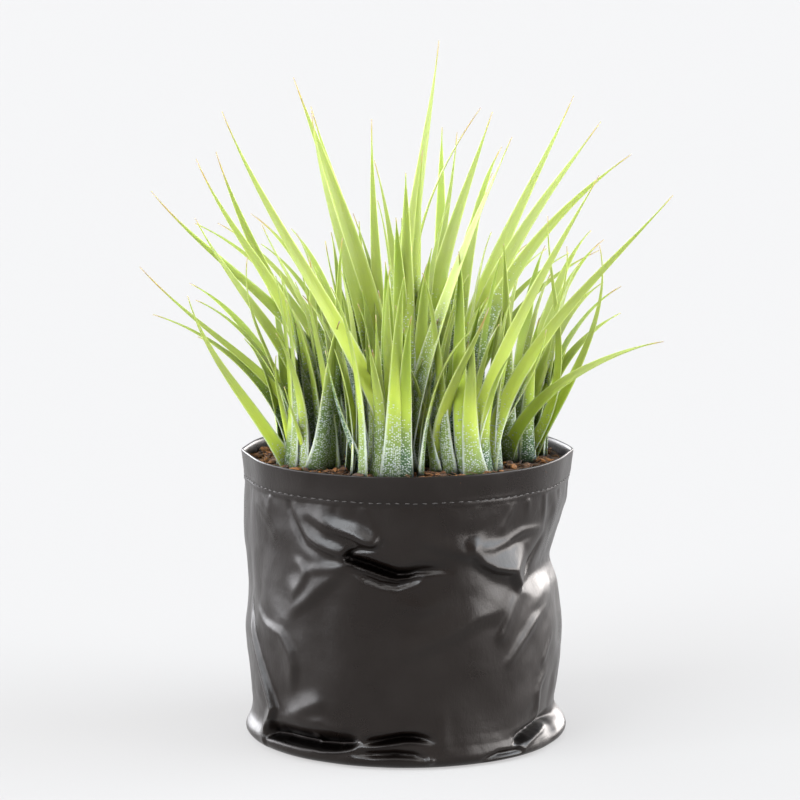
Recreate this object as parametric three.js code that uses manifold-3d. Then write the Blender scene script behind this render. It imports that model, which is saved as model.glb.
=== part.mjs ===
// A potted sky plant: a clump of seven narrow-leaved rosettes in a soft black grow bag.
// Millimetres, +Z up. The origin is at the middle of the bag's foot, and -Y is the front.
// Angles go round the bag from +X, so -90 degrees is the front and 180 is the left crease.
import * as THREE from "three";
import { mergeVertices } from "three/addons/utils/BufferGeometryUtils.js";
import Module from "manifold-3d";

const wasm = await Module();
wasm.setup();

// Driving sizes
const BAG_RADIUS = 60;
const BAG_HEIGHT = 107;
const FILM = 1.0;
const GAP = 0.3;
const COLUMNS = 48;

// Bag profile, from the foot's edge to the rim: height, and how far in from the bag's radius
const HEM_DEPTH = 11;
const HEM_STEP = 0.9;
const HEM_FOOT = BAG_HEIGHT - HEM_DEPTH;
const PROFILE = [
  [0, 7.5],
  [1.6, 1.6],
  [4.5, 0],
  [8, 1.8],
  [11, 4.2],
  [16, 2.6],
  [25, 1.8],
  [35, 1.2],
  [45, 1.4],
  [54, 1.8],
  [62, 2.2],
  [69, 2.2],
  [76, 1.8],
  [83, 1.4],
  [90, 1.6],
  [HEM_FOOT - 0.6, 1.4],
  [HEM_FOOT, 1.4 - HEM_STEP],
  [BAG_HEIGHT - 5, 0.4],
  [BAG_HEIGHT, 0],
];

// Folds of the film: height of the fold (negative is a dent), how far it spreads above
// and below its line, and the line itself as angle and height. Past the ends of its line a
// fold dies away over FOLD_ENDS.
const FOLDS = [
  { rise: 2.2, above: 9, below: 7, line: [[-137, 91], [-115, 88], [-100, 83]] },
  { rise: -3.0, above: 8, below: 9, line: [[-132, 79], [-113, 73], [-94, 69], [-78, 75]] },
  { rise: 2.4, above: 7, below: 12, line: [[-132, 71], [-123, 66], [-138, 55]] },
  { rise: 1.8, above: 9, below: 9, line: [[-174, 66], [-149, 47], [-138, 35], [-143, 21]] },
  { rise: -2.2, above: 10, below: 10, line: [[-165, 30], [-152, 18], [-140, 13]] },
  { rise: 2.2, above: 8, below: 5, line: [[-66, 83], [-58, 80], [-46, 82], [-28, 84]] },
  { rise: -9.0, above: 19, below: 10, line: [[-46, 63], [-20, 66], [10, 67], [30, 64]] },
  { rise: -3.4, above: 12, below: 9, line: [[-64, 74], [-52, 69], [-42, 62]] },
  { rise: -3.0, above: 14, below: 14, line: [[-52, 40], [-20, 44], [12, 38]] },
  { rise: -3.4, above: 12, below: 10, line: [[-30, 12], [-5, 16], [20, 13]] },
  { rise: -2.6, above: 12, below: 12, line: [[35, 84], [70, 74], [100, 80]] },
  { rise: -3.0, above: 12, below: 12, line: [[60, 50], [95, 42], [130, 52]] },
  { rise: 2.0, above: 9, below: 9, line: [[105, 66], [140, 60], [168, 70]] },
  { rise: -2.6, above: 10, below: 10, line: [[120, 26], [150, 32], [172, 24]] },
];
const FOLD_ENDS = 12;
const FOLD_START = 10;
const FOLD_END = HEM_FOOT - 1;
const FOLD_FADE = 7;
const SIDE_CREASES = [0, 180];
const CREASE_RISE = 1.3;
const CREASE_SPREAD = 13;

// Soil
const SOIL_TOP = 103;
const SOIL_RINGS = [0.3, 0.58, 0.82];
const SOIL_RELIEF = 0.8;
const SOIL_FOOT_RADIUS = BAG_RADIUS - PROFILE[0][1] - 2;

// Crowns, the short thick stems that the leaves of one rosette grow from
const CROWN_RADIUS = 11.2;
const CROWN_DEPTH = 22;
const CROWN_DOME = 4.5;
const CROWN_SIDES = 14;
const HOLE_GAP = 0.5;

// Leaf blades
const BLADE_STEPS = 7;
const HEART_STEPS = 5;
const OUTER_STEPS = 6;
const BLADE_THICK = 1.3;
const TIP_THICK = 0.6;
const TIP_WIDTH = 0.9;
const ROOT_DEPTH = 6;
const ROOT_PULL = 0.45;
const FOOT_WIDTH = 0.62;
const WIDEST_AT = 0.14;
const TAPER_POWER = 1.8;
const CHANNEL = 0.34;

// Leaves drawn one by one as the front view shows them. Each row holds the root x, y, then
// the points a third and two thirds of the way along and the tip as x, y, z, then the width
// and how far the blade's upper face turns to the front (0 faces the clump, 1 the front).
const ROSETTES = [
  {
    name: "rosette_left",
    centre: [-33, -14],
    leaves: [
      [-41, -17, -56, -23, 124, -69, -31, 146, -78, -40, 169, 6.2, 0.6],
      [-40, -13, -45, -19, 122, -47, -24, 134, -47, -30, 146, 3.2, 0.3],
      [-40, -10, -47, -18, 135, -55, -25, 158, -57, -32, 182, 3.9, 0.5],
      [-36, -21, -39, -24, 114, -41, -28, 124, -44, -32, 135, 5, 0.3],
      [-33, -6, -48, -11, 131, -71, -12, 152, -97, -12, 176, 4.6, 0.8],
      [-30, -12, -40, -16, 136, -58, -20, 166, -76, -24, 195, 7.4, 0.7],
      [-26, -18, -29, -23, 127, -33, -29, 154, -38, -36, 180, 7.4, 0.3],
      [-26, -10, -30, -16, 141, -40, -21, 168, -52, -26, 193, 6.6, 0.5],
      [-29, -8, -40, -10, 151, -58, -5, 182, -77, 2, 214, 6.8, 0.8],
      [-27, -8, -33, -8, 142, -61, -8, 172, -93, -6, 203, 7, -0.8],
    ],
    hearts: 4,
    outer: { count: 4, from: 140, to: 200, reach: [34, 52], rise: [44, 70] },
  },
  {
    name: "rosette_front",
    centre: [-7, -28],
    leaves: [
      [-1, -31, -20, -35, 149, -44, -39, 192, -65, -45, 235, 8, 0.7],
      [-9, -36, -9, -38, 122, -10, -42, 143, -11, -47, 163, 6.2, 0],
      [-3, -34, -5, -36, 128, -7, -39, 154, -6, -42, 180, 8, 0],
      [1, -29, -1, -32, 123, -2, -34, 144, -4, -36, 165, 6, 0],
      [0, -24, 8, -31, 145, 21, -38, 186, 37, -45, 226, 12, 0.5],
      [-14, -31, -22, -33, 119, -26, -35, 133, -29, -38, 149, 8, 0.2],
      [-13, -23, -18, -26, 126, -22, -28, 146, -27, -30, 166, 10, 0.2],
    ],
    hearts: 6,
  },
  {
    name: "rosette_front_right",
    centre: [20, -22],
    leaves: [
      [13, -25, 14, -31, 123, 21, -40, 145, 29, -50, 166, 9.5, 0.2],
      [19, -29, 32, -32, 140, 49, -37, 177, 68, -41, 212, 7, 0.7],
      [26, -26, 42, -27, 140, 67, -29, 173, 95, -31, 204, 6.6, 0.8],
      [27, -18, 35, -24, 120, 44, -29, 137, 50, -34, 156, 8, 0.4],
      [18, -16, 27, -15, 149, 49, -9, 187, 82, -1, 216, 9, 0.8],
    ],
    hearts: 6,
  },
  {
    name: "rosette_right",
    centre: [39, 4],
    leaves: [
      [46, 0, 58, -4, 128, 69, -8, 155, 70, -13, 184, 5.6, 0.6],
      [42, -3, 55, -6, 133, 54, -11, 164, 51, -17, 195, 5, 0.6],
      [35, 0, 41, -8, 130, 53, -13, 156, 58, -16, 184, 4, 0.6],
      [36, -4, 48, -17, 126, 68, -28, 143, 92, -36, 152, 5.8, 0.7],
    ],
    hearts: 3,
    outer: { count: 6, from: -8, to: 78, reach: [26, 50], rise: [46, 84] },
  },
  {
    name: "rosette_middle",
    centre: [2, -5],
    leaves: [],
    hearts: 9,
    tall: 1.5,
  },
  {
    name: "rosette_rear_left",
    centre: [-14, 15],
    leaves: [
      [-21, 11, -37, 10, 140, -55, 9, 178, -70, 8, 216, 8.6, 0.8],
      [-10, 20, -12, 19, 147, -25, 23, 195, -42, 28, 242, 12, 0.6],
      [-10, 12, -14, 13, 143, -26, 12, 187, -35, 12, 231, 9.5, 0.6],
      [-12, 22, -15, 26, 155, -24, 34, 193, -36, 44, 230, 7.5, 0.5],
      [-8, 18, -10, 20, 140, -12, 26, 183, -13, 34, 226, 8, 0.3],
      [-8, 12, -4, 13, 138, -5, 17, 176, -12, 20, 212, 7.5, 0.3],
      [-9, 16, -9, 18, 139, -12, 23, 165, -20, 30, 191, 6.5, 0.3],
      [-18, 10, -20, 9, 136, -25, 10, 159, -30, 10, 183, 5, 0.4],
    ],
    hearts: 3,
    outer: { count: 7, from: 98, to: 172, reach: [34, 66], rise: [66, 118] },
  },
  {
    name: "rosette_rear_right",
    centre: [12, 17],
    leaves: [
      [5, 14, 0, 16, 152, 5, 19, 204, 12, 22, 256, 11.5, 0.3],
      [7, 12, 2, 10, 155, 8, 5, 196, 27, -1, 233, 9.6, 0.3],
      [9, 17, 9, 20, 149, 14, 28, 185, 19, 36, 221, 7, 0.3],
      [8, 13, 10, 16, 152, 19, 23, 191, 32, 30, 229, 10.5, 0.4],
      [17, 20, 26, 22, 154, 43, 32, 194, 63, 44, 234, 9.5, 0.6],
      [19, 13, 28, 14, 153, 47, 17, 191, 72, 22, 226, 9.5, 0.7],
    ],
    hearts: 3,
    outer: { count: 8, from: 22, to: 92, reach: [30, 62], rise: [70, 122] },
  },
];

// Leaves placed by rule: short hearts that fill a crown, and outer leaves on the hidden sides
const HEART = { rise: [44, 80], reach: [4, 14], width: [8.5, 10.5], ring: 6.5 };
const OUTER_WIDTH = [6.5, 9.5];
const OUTER_RING = 8;
const SEED = 20417;

const GOLDEN_ANGLE = Math.PI * (3 - Math.sqrt(5));

/** A seeded generator of numbers from 0 to 1. */
function seededRandom(seed) {
  let state = seed >>> 0;
  return () => {
    state = (state + 0x6d2b79f5) >>> 0;
    let mixed = Math.imul(state ^ (state >>> 15), state | 1);
    mixed ^= mixed + Math.imul(mixed ^ (mixed >>> 7), mixed | 61);
    return ((mixed ^ (mixed >>> 14)) >>> 0) / 4294967296;
  };
}

/** The value at x of a line through [x, y] points. */
function alongLine(points, x) {
  for (let i = 1; i < points.length; i++) {
    const [x0, y0] = points[i - 1];
    const [x1, y1] = points[i];
    if (x <= x1) return y0 + ((y1 - y0) * Math.max(0, x - x0)) / (x1 - x0);
  }
  return points[points.length - 1][1];
}

/** How strongly a fold lifts the film at one place: 1 on its line, 0 beyond its spread. */
function foldShare(fold, angle, z) {
  const perDegree = (BAG_RADIUS * Math.PI) / 180;
  let share = 0;
  for (let i = 1; i < fold.line.length; i++) {
    const [a0, z0] = fold.line[i - 1];
    const [a1, z1] = fold.line[i];
    const turn = ((angle - a0 + 540) % 360) - 180;
    const px = turn * perDegree;
    const py = z - z0;
    const dx = (a1 - a0) * perDegree;
    const dy = z1 - z0;
    const t = THREE.MathUtils.clamp((px * dx + py * dy) / (dx * dx + dy * dy), 0, 1);
    const gapX = px - t * dx;
    const gapY = py - t * dy;
    const spread = gapY > 0 ? fold.above : fold.below;
    share = Math.max(share, 1 - Math.hypot(gapX / FOLD_ENDS, gapY / spread));
  }
  return share;
}

/** Radius of the bag's outer face at an angle in degrees and a height. */
function bagRadius(angle, z) {
  let radius = BAG_RADIUS - alongLine(PROFILE, z);
  const fadeLow = THREE.MathUtils.clamp((z - FOLD_START) / FOLD_FADE, 0, 1);
  const fadeHigh = THREE.MathUtils.clamp((FOLD_END - z) / FOLD_FADE, 0, 1);
  for (const fold of FOLDS) radius += fold.rise * foldShare(fold, angle, z) * fadeLow * fadeHigh;
  for (const crease of SIDE_CREASES) {
    const away = Math.abs(((angle - crease + 540) % 360) - 180);
    const sharp = Math.max(0, 1 - away / CREASE_SPREAD);
    radius += CREASE_RISE * sharp * sharp * (z / BAG_HEIGHT);
  }
  return radius;
}

/** The middle of some points. */
function middleOf(points) {
  const sum = points.reduce((total, point) => total.map((value, k) => value + point[k]), [0, 0, 0]);
  return sum.map((value) => value / points.length);
}

/** Distance between two points. */
function distance(p, q) {
  return Math.hypot(p[0] - q[0], p[1] - q[1], p[2] - q[2]);
}

/** Geometry of a closed skin over rings of equal point counts, with a fan at each end. */
function skin(rings, firstCentre, lastCentre) {
  const count = rings[0].length;
  const points = [firstCentre, ...rings.flat(), lastCentre];
  const last = points.length - 1;
  const index = [];
  for (let i = 0; i < count; i++) index.push(0, 1 + ((i + 1) % count), 1 + i);
  for (let r = 0; r + 1 < rings.length; r++) {
    const core = middleOf([...rings[r], ...rings[r + 1]]);
    for (let i = 0; i < count; i++) {
      const a = 1 + r * count + i;
      const b = 1 + r * count + ((i + 1) % count);
      const c = b + count;
      const d = a + count;
      // Each four-sided patch is split along the diagonal that stands farther out
      const split = distance(middleOf([points[a], points[c]]), core);
      const other = distance(middleOf([points[b], points[d]]), core);
      index.push(...(split >= other ? [a, b, c, a, c, d] : [a, b, d, b, c, d]));
    }
  }
  const top = last - count;
  for (let i = 0; i < count; i++) index.push(top + i, top + ((i + 1) % count), last);
  const geometry = new THREE.BufferGeometry();
  geometry.setAttribute("position", new THREE.Float32BufferAttribute(points.flat(), 3));
  geometry.setIndex(index);
  return geometry;
}

/** One ring of points round the Z axis, with its radius and height from the angle. */
function ringAround(place) {
  return Array.from({ length: COLUMNS }, (_, i) => {
    const angle = (360 * i) / COLUMNS - 180;
    const [radius, z] = place(angle);
    const radians = THREE.MathUtils.degToRad(angle);
    return [radius * Math.cos(radians), radius * Math.sin(radians), z];
  });
}

/** The bag: one thin film up the outside, over the hemmed rim and down the inside. */
function bagGeometry() {
  const outside = PROFILE.map(([z]) => ringAround((angle) => [bagRadius(angle, z), z]));
  const inside = PROFILE.filter(([z]) => z > 2)
    .reverse()
    .map(([z]) => ringAround((angle) => [bagRadius(angle, z) - FILM, z]));
  inside.push(ringAround((angle) => [bagRadius(angle, 0) - FILM, FILM]));
  return skin([...outside, ...inside], [0, 0, 0], [0, 0, FILM]);
}

/** Height of the soil's crumbled top at a place. */
function soilHeight(x, y) {
  const wave = Math.sin(x * 0.31 + 1.3) * Math.cos(y * 0.27) + 0.5 * Math.sin((x - y) * 0.53);
  return SOIL_TOP + (SOIL_RELIEF * wave) / 1.5;
}

/** The soil: it fills the bag to just under the rim, with a plain round hole for each crown. */
function soilSolid() {
  const inset = FILM + GAP;
  const edge = (angle, z) => bagRadius(angle, z) - inset;
  const rings = [ringAround(() => [SOIL_FOOT_RADIUS, FILM + GAP])];
  for (const [z] of PROFILE) {
    if (z > FOLD_START && z < SOIL_TOP - 1.5) rings.push(ringAround((angle) => [edge(angle, z), z]));
  }
  for (const share of [1, ...SOIL_RINGS.toReversed()]) {
    rings.push(ringAround((angle) => {
      const out = edge(angle, SOIL_TOP) * share;
      const radians = THREE.MathUtils.degToRad(angle);
      return [out, soilHeight(out * Math.cos(radians), out * Math.sin(radians))];
    }));
  }
  let soil = solidOf(skin(rings, [0, 0, FILM + GAP], [0, 0, soilHeight(0, 0)]));
  for (const { centre } of ROSETTES) {
    const depth = CROWN_DEPTH + GAP + 10;
    const radius = CROWN_RADIUS + HOLE_GAP;
    const hole = new THREE.CylinderGeometry(radius, radius, depth, CROWN_SIDES);
    hole.rotateX(Math.PI / 2);
    hole.translate(centre[0], centre[1], SOIL_TOP - CROWN_DEPTH - GAP + depth / 2);
    soil = soil.subtract(solidOf(hole));
  }
  return soil;
}

/** A crown: a short round stem with a domed top just above the soil. */
function crownSolid([x, y]) {
  const profile = [
    [0, -CROWN_DEPTH],
    [CROWN_RADIUS * 0.8, -CROWN_DEPTH],
    [CROWN_RADIUS, -CROWN_DEPTH * 0.7],
    [CROWN_RADIUS, -0.5],
    [CROWN_RADIUS * 0.8, CROWN_DOME * 0.5],
    [CROWN_RADIUS * 0.4, CROWN_DOME * 0.9],
    [0, CROWN_DOME],
  ].map(([radius, z]) => new THREE.Vector2(radius, z));
  const crown = new THREE.LatheGeometry(profile, CROWN_SIDES);
  crown.rotateX(Math.PI / 2);
  crown.translate(x, y, SOIL_TOP);
  return solidOf(crown);
}

/** The place at share t of the cubic that passes four points at t = 0, 1/3, 2/3 and 1. */
function throughPoints([a, b, c, d], t) {
  const place = new THREE.Vector3();
  place.addScaledVector(a, -4.5 * (t - 1 / 3) * (t - 2 / 3) * (t - 1));
  place.addScaledVector(b, 13.5 * t * (t - 2 / 3) * (t - 1));
  place.addScaledVector(c, -13.5 * t * (t - 1 / 3) * (t - 1));
  place.addScaledVector(d, 4.5 * t * (t - 1 / 3) * (t - 2 / 3));
  return place;
}

/** Width of a blade at share t of its length. */
function widthAt(width, t) {
  const foot = FOOT_WIDTH + (1 - FOOT_WIDTH) * Math.min(1, t / WIDEST_AT);
  return Math.max(TIP_WIDTH, width * foot * (1 - t ** TAPER_POWER));
}

/** One blade: a channelled leaf that starts inside the crown and tapers to its tip. */
function bladeSolid(centre, row, steps) {
  const [rootX, rootY, x1, y1, z1, x2, y2, z2, tipX, tipY, tipZ, width, front] = row;
  const root = new THREE.Vector3(rootX, rootY, SOIL_TOP);
  const points = [root, new THREE.Vector3(x1, y1, z1), new THREE.Vector3(x2, y2, z2)];
  points.push(new THREE.Vector3(tipX, tipY, tipZ));
  const face = new THREE.Vector3(rootX - tipX, rootY - tipY, 0);
  face.normalize().multiplyScalar(1 - Math.abs(front));
  face.add(new THREE.Vector3(0, -1, 0.1).multiplyScalar(front));
  const rings = [];
  for (let step = -1; step <= steps; step++) {
    const t = Math.max(0, step / steps);
    const middle = throughPoints(points, t);
    const ahead = throughPoints(points, Math.min(1, t + 0.01));
    const along = ahead.sub(throughPoints(points, Math.max(0, t - 0.01))).normalize();
    const side = along.clone().cross(face).normalize();
    const up = side.clone().cross(along);
    let half = widthAt(width, t) / 2;
    if (step < 0) {
      middle.x = THREE.MathUtils.lerp(rootX, centre[0], ROOT_PULL);
      middle.y = THREE.MathUtils.lerp(rootY, centre[1], ROOT_PULL);
      middle.z = SOIL_TOP - ROOT_DEPTH;
      half *= 0.6;
    }
    const thick = THREE.MathUtils.lerp(BLADE_THICK, TIP_THICK, t) / 2;
    const lift = half * CHANNEL * (1 - 0.6 * t);
    const at = (across, over) => middle.clone().addScaledVector(side, across).addScaledVector(up, over);
    const ring = [at(half, lift), at(0, -thick), at(-half, lift), at(0, thick)];
    rings.push(ring.map((point) => point.toArray()));
  }
  const endOf = (ring) => middleOf([ring[1], ring[3]]);
  return solidOf(skin(rings, endOf(rings[0]), endOf(rings[rings.length - 1])));
}

/** The row of a leaf that the rule places: it leans away along an angle from its root. */
function ruledRow(rootX, rootY, angle, reach, rise, width) {
  const at = (share, climb) => [
    rootX + Math.cos(angle) * reach * share,
    rootY + Math.sin(angle) * reach * share,
    SOIL_TOP + rise * climb,
  ];
  const front = 0.3 * Math.abs(Math.cos(angle));
  return [rootX, rootY, ...at(0.16, 0.4), ...at(0.5, 0.76), ...at(1, 1), width, front];
}

/** Rows of the short leaves that fill the heart of a rosette. */
function heartLeaves({ centre, hearts, tall = 1 }, random) {
  const between = ([low, high]) => low + (high - low) * random();
  return Array.from({ length: hearts }, (_, i) => {
    const ring = HEART.ring * Math.sqrt((i + 0.5) / hearts);
    const turn = i * GOLDEN_ANGLE + random();
    const x = centre[0] + ring * Math.cos(turn);
    const y = centre[1] + ring * Math.sin(turn);
    const rise = between(HEART.rise) * tall;
    return ruledRow(x, y, Math.atan2(y, x), between(HEART.reach), rise, between(HEART.width));
  });
}

/** Rows of the arching leaves on the sides of a rosette that the front view hides. */
function outerLeaves({ centre, outer }, random) {
  const between = ([low, high]) => low + (high - low) * random();
  if (!outer) return [];
  return Array.from({ length: outer.count }, (_, i) => {
    const share = (i + 0.2 + 0.6 * random()) / outer.count;
    const angle = THREE.MathUtils.degToRad(outer.from + (outer.to - outer.from) * share);
    const ring = OUTER_RING * (i % 2 ? 0.65 : 1);
    const x = centre[0] + ring * Math.cos(angle);
    const y = centre[1] + ring * Math.sin(angle);
    return ruledRow(x, y, angle, between(outer.reach), between(outer.rise), between(OUTER_WIDTH));
  });
}

/** One rosette: its crown with every leaf grown into it. */
function rosetteSolid(rosette, random) {
  let solid = crownSolid(rosette.centre);
  const groups = [
    [heartLeaves(rosette, random), HEART_STEPS],
    [outerLeaves(rosette, random), OUTER_STEPS],
    [rosette.leaves, BLADE_STEPS],
  ];
  for (const [rows, steps] of groups) {
    for (const row of rows) solid = solid.add(bladeSolid(rosette.centre, row, steps));
  }
  return solid;
}

/** A closed geometry as a solid that can be joined and cut. */
function solidOf(geometry) {
  const bare = geometry.clone();
  bare.deleteAttribute("normal");
  bare.deleteAttribute("uv");
  const merged = mergeVertices(bare, 1e-4);
  return new wasm.Manifold(new wasm.Mesh({
    numProp: 3,
    vertProperties: new Float32Array(merged.attributes.position.array),
    triVerts: new Uint32Array(merged.index.array),
  }));
}

/** The outer surface of a joined solid as a geometry, without pockets sealed inside it. */
function outerSurface(solid) {
  const { vertProperties, triVerts, numProp } = solid.getMesh();
  const owner = Array.from({ length: vertProperties.length / numProp }, (_, i) => i);
  const find = (i) => {
    while (owner[i] !== i) i = owner[i] = owner[owner[i]];
    return i;
  };
  for (let i = 0; i < triVerts.length; i += 3) {
    owner[find(triVerts[i])] = find(triVerts[i + 1]);
    owner[find(triVerts[i + 1])] = find(triVerts[i + 2]);
  }
  const sizes = new Map();
  for (const vertex of triVerts) sizes.set(find(vertex), (sizes.get(find(vertex)) ?? 0) + 1);
  const largest = [...sizes].sort((a, b) => b[1] - a[1])[0][0];
  const index = [];
  for (let i = 0; i < triVerts.length; i += 3) {
    if (find(triVerts[i]) === largest) index.push(...triVerts.slice(i, i + 3));
  }
  const geometry = new THREE.BufferGeometry();
  geometry.setAttribute("position", new THREE.BufferAttribute(new Float32Array(vertProperties), 3));
  geometry.setIndex(index);
  return geometry;
}

/** A named mesh. */
function piece(name, geometry, material) {
  const mesh = new THREE.Mesh(geometry, material);
  mesh.name = name;
  return mesh;
}

const film = new THREE.MeshStandardMaterial({ color: 0x34302f, roughness: 0.38, metalness: 0 });
const earth = new THREE.MeshStandardMaterial({ color: 0x4a2c17, roughness: 0.95, metalness: 0 });
const foliage = new THREE.MeshStandardMaterial({ color: 0x9cbf35, roughness: 0.5, metalness: 0 });

const plant = new THREE.Group();
plant.add(piece("grow_bag", bagGeometry(), film));
plant.add(piece("soil", outerSurface(soilSolid()), earth));
const random = seededRandom(SEED);
for (const rosette of ROSETTES) {
  plant.add(piece(rosette.name, outerSurface(rosetteSolid(rosette, random)), foliage));
}

export default plant;
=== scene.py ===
"""The potted sky plant: seven rosettes of narrow leaves in a soft black grow bag, in a pale studio.

Shapes are worked out in millimetres, +Z up, from the middle of the bag's foot, with -Y to the
front. Angles go round the bag from +X in degrees, so -90 is the front and 180 the left crease.
"""

import logging
import math
from dataclasses import dataclass, replace
from enum import Enum
from typing import Union

import bpy
import numpy as np
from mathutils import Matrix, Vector
from mathutils.geometry import delaunay_2d_cdt

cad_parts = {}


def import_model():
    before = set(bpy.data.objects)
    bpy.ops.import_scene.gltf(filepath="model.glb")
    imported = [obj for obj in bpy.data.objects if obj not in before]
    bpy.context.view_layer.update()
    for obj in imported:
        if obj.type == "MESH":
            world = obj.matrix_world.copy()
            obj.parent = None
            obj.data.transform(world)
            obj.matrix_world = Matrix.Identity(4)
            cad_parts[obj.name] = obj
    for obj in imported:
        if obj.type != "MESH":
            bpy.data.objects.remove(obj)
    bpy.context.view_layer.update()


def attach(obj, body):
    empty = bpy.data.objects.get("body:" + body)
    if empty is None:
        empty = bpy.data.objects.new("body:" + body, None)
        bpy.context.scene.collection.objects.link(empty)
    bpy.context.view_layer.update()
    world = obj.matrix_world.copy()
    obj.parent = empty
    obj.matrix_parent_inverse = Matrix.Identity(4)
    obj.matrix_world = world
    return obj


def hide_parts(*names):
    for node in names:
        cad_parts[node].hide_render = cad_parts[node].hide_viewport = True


LOG = logging.getLogger("sky_plant")
MM = 0.001
BODY = "root"
TINY = 1e-9

# Height of the soil's top, which the leaves' roots share
SOIL_TOP = 103.0

# Turns by which a line is repeated, so that it reaches over the seam at the back of the grid
TURNS = (-360.0, 0.0, 360.0)

Pair = tuple[float, float]
Point = tuple[float, float, float]
Line = tuple[Point, ...]
Colour = tuple[float, float, float, float]
Array = np.ndarray
Random = np.random.Generator
Source = Union["Value", float, int, tuple]
Name = Union[str, int]


class Slot(Enum):
    """Material slots of the record."""

    FILM = "bag_film"
    SOIL = "soil"
    LEAF = "leaf"


def colour(red: float, green: float, blue: float) -> Colour:
    """An opaque linear colour."""
    return (red, green, blue, 1.0)


def unit(vectors: Array) -> Array:
    """Vectors of length one along the given ones."""
    return vectors / np.linalg.norm(vectors, axis=-1, keepdims=True)


def circle(count: int) -> Array:
    """Evenly spaced angles of one whole turn, in radians."""
    return np.linspace(0, 2 * math.pi, count, endpoint=False)


def ring(radius: Array, turn: Array, height: Array) -> Array:
    """Points round an upright axis, with their angles in radians."""
    return np.stack([radius * np.cos(turn), radius * np.sin(turn), height + 0 * turn], axis=-1)


def apart(degrees: Array, middle: float) -> Array:
    """How many degrees lie between each angle and one in the middle, either way round."""
    return np.abs((degrees - middle + 180) % 360 - 180)


def sampled(grid: Array, across: Array, up: Array, eased: bool = False) -> Array:
    """What a grid says between its points.

    Args:
        grid: one value for each row and column.
        across: column of each place, with its fraction.
        up: row of each place, with its fraction.
        eased: whether the value eases from point to point instead of running straight.

    Returns:
        The value at each place.
    """
    i = np.clip(across.astype(int), 0, grid.shape[1] - 2)
    j = up.astype(int)
    u = across - i
    v = up - j
    if eased:
        u = u * u * (3 - 2 * u)
        v = v * v * (3 - 2 * v)
    low = grid[j, i] * (1 - u) + grid[j, i + 1] * u
    high = grid[j + 1, i] * (1 - u) + grid[j + 1, i + 1] * u
    return low * (1 - v) + high * v


def uneven(random: Random, x: Array, y: Array, step: float, wrap: float = 0.0) -> Array:
    """Smooth seeded unevenness from -1 to 1 over a plane or round the bag.

    Args:
        random: the seeded source of its values.
        x: first coordinate of each place.
        y: second coordinate of each place.
        step: distance between one swelling and the next.
        wrap: the length after which x closes on itself, or 0 if it does not.

    Returns:
        The value at each place.
    """
    length = wrap or float(np.ptp(x))
    columns = max(2, round(length / step))
    lattice = random.uniform(-1, 1, (int(np.ptp(y) / step) + 3, columns + 2))
    if wrap:
        lattice[:, columns:] = lattice[:, :2]
    return sampled(lattice, (x - x.min()) / (length / columns), (y - y.min()) / step, eased=True)


class Value:
    """One socket of a node tree, which stands in a sum as a number does."""

    def __init__(self, graph: "Graph", socket: bpy.types.NodeSocket) -> None:
        """Keeps the socket and the graph that new nodes go to."""
        self.graph = graph
        self.socket = socket

    def _math(self, operation: str, first: Source, second: Source = 0.0) -> "Value":
        """The result of one Math node."""
        inputs = {0: first, 1: second}
        return self.graph.node("ShaderNodeMath", "Value", {"operation": operation}, inputs)

    def __add__(self, other: Source) -> "Value":
        """The sum with another value."""
        return self._math("ADD", self, other)

    __radd__ = __add__

    def __sub__(self, other: Source) -> "Value":
        """This value less another."""
        return self._math("SUBTRACT", self, other)

    def __rsub__(self, other: Source) -> "Value":
        """Another value less this."""
        return self._math("SUBTRACT", other, self)

    def __mul__(self, other: Source) -> "Value":
        """The product with another value."""
        return self._math("MULTIPLY", self, other)

    __rmul__ = __mul__

    def size(self) -> "Value":
        """The value without its sign."""
        return self._math("ABSOLUTE", self)

    def most(self, other: Source) -> "Value":
        """The larger of this value and another."""
        return self._math("MAXIMUM", self, other)

    def ramp(self, low: float, high: float) -> "Value":
        """Eases from 0 where the value is at low to 1 where it is at high, which may be the smaller."""
        settings = {"interpolation_type": "SMOOTHSTEP", "clamp": True}
        inputs = {"Value": self, "From Min": min(low, high), "From Max": max(low, high)}
        share = self.graph.node("ShaderNodeMapRange", "Result", settings, inputs)
        return share if low < high else 1.0 - share


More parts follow.
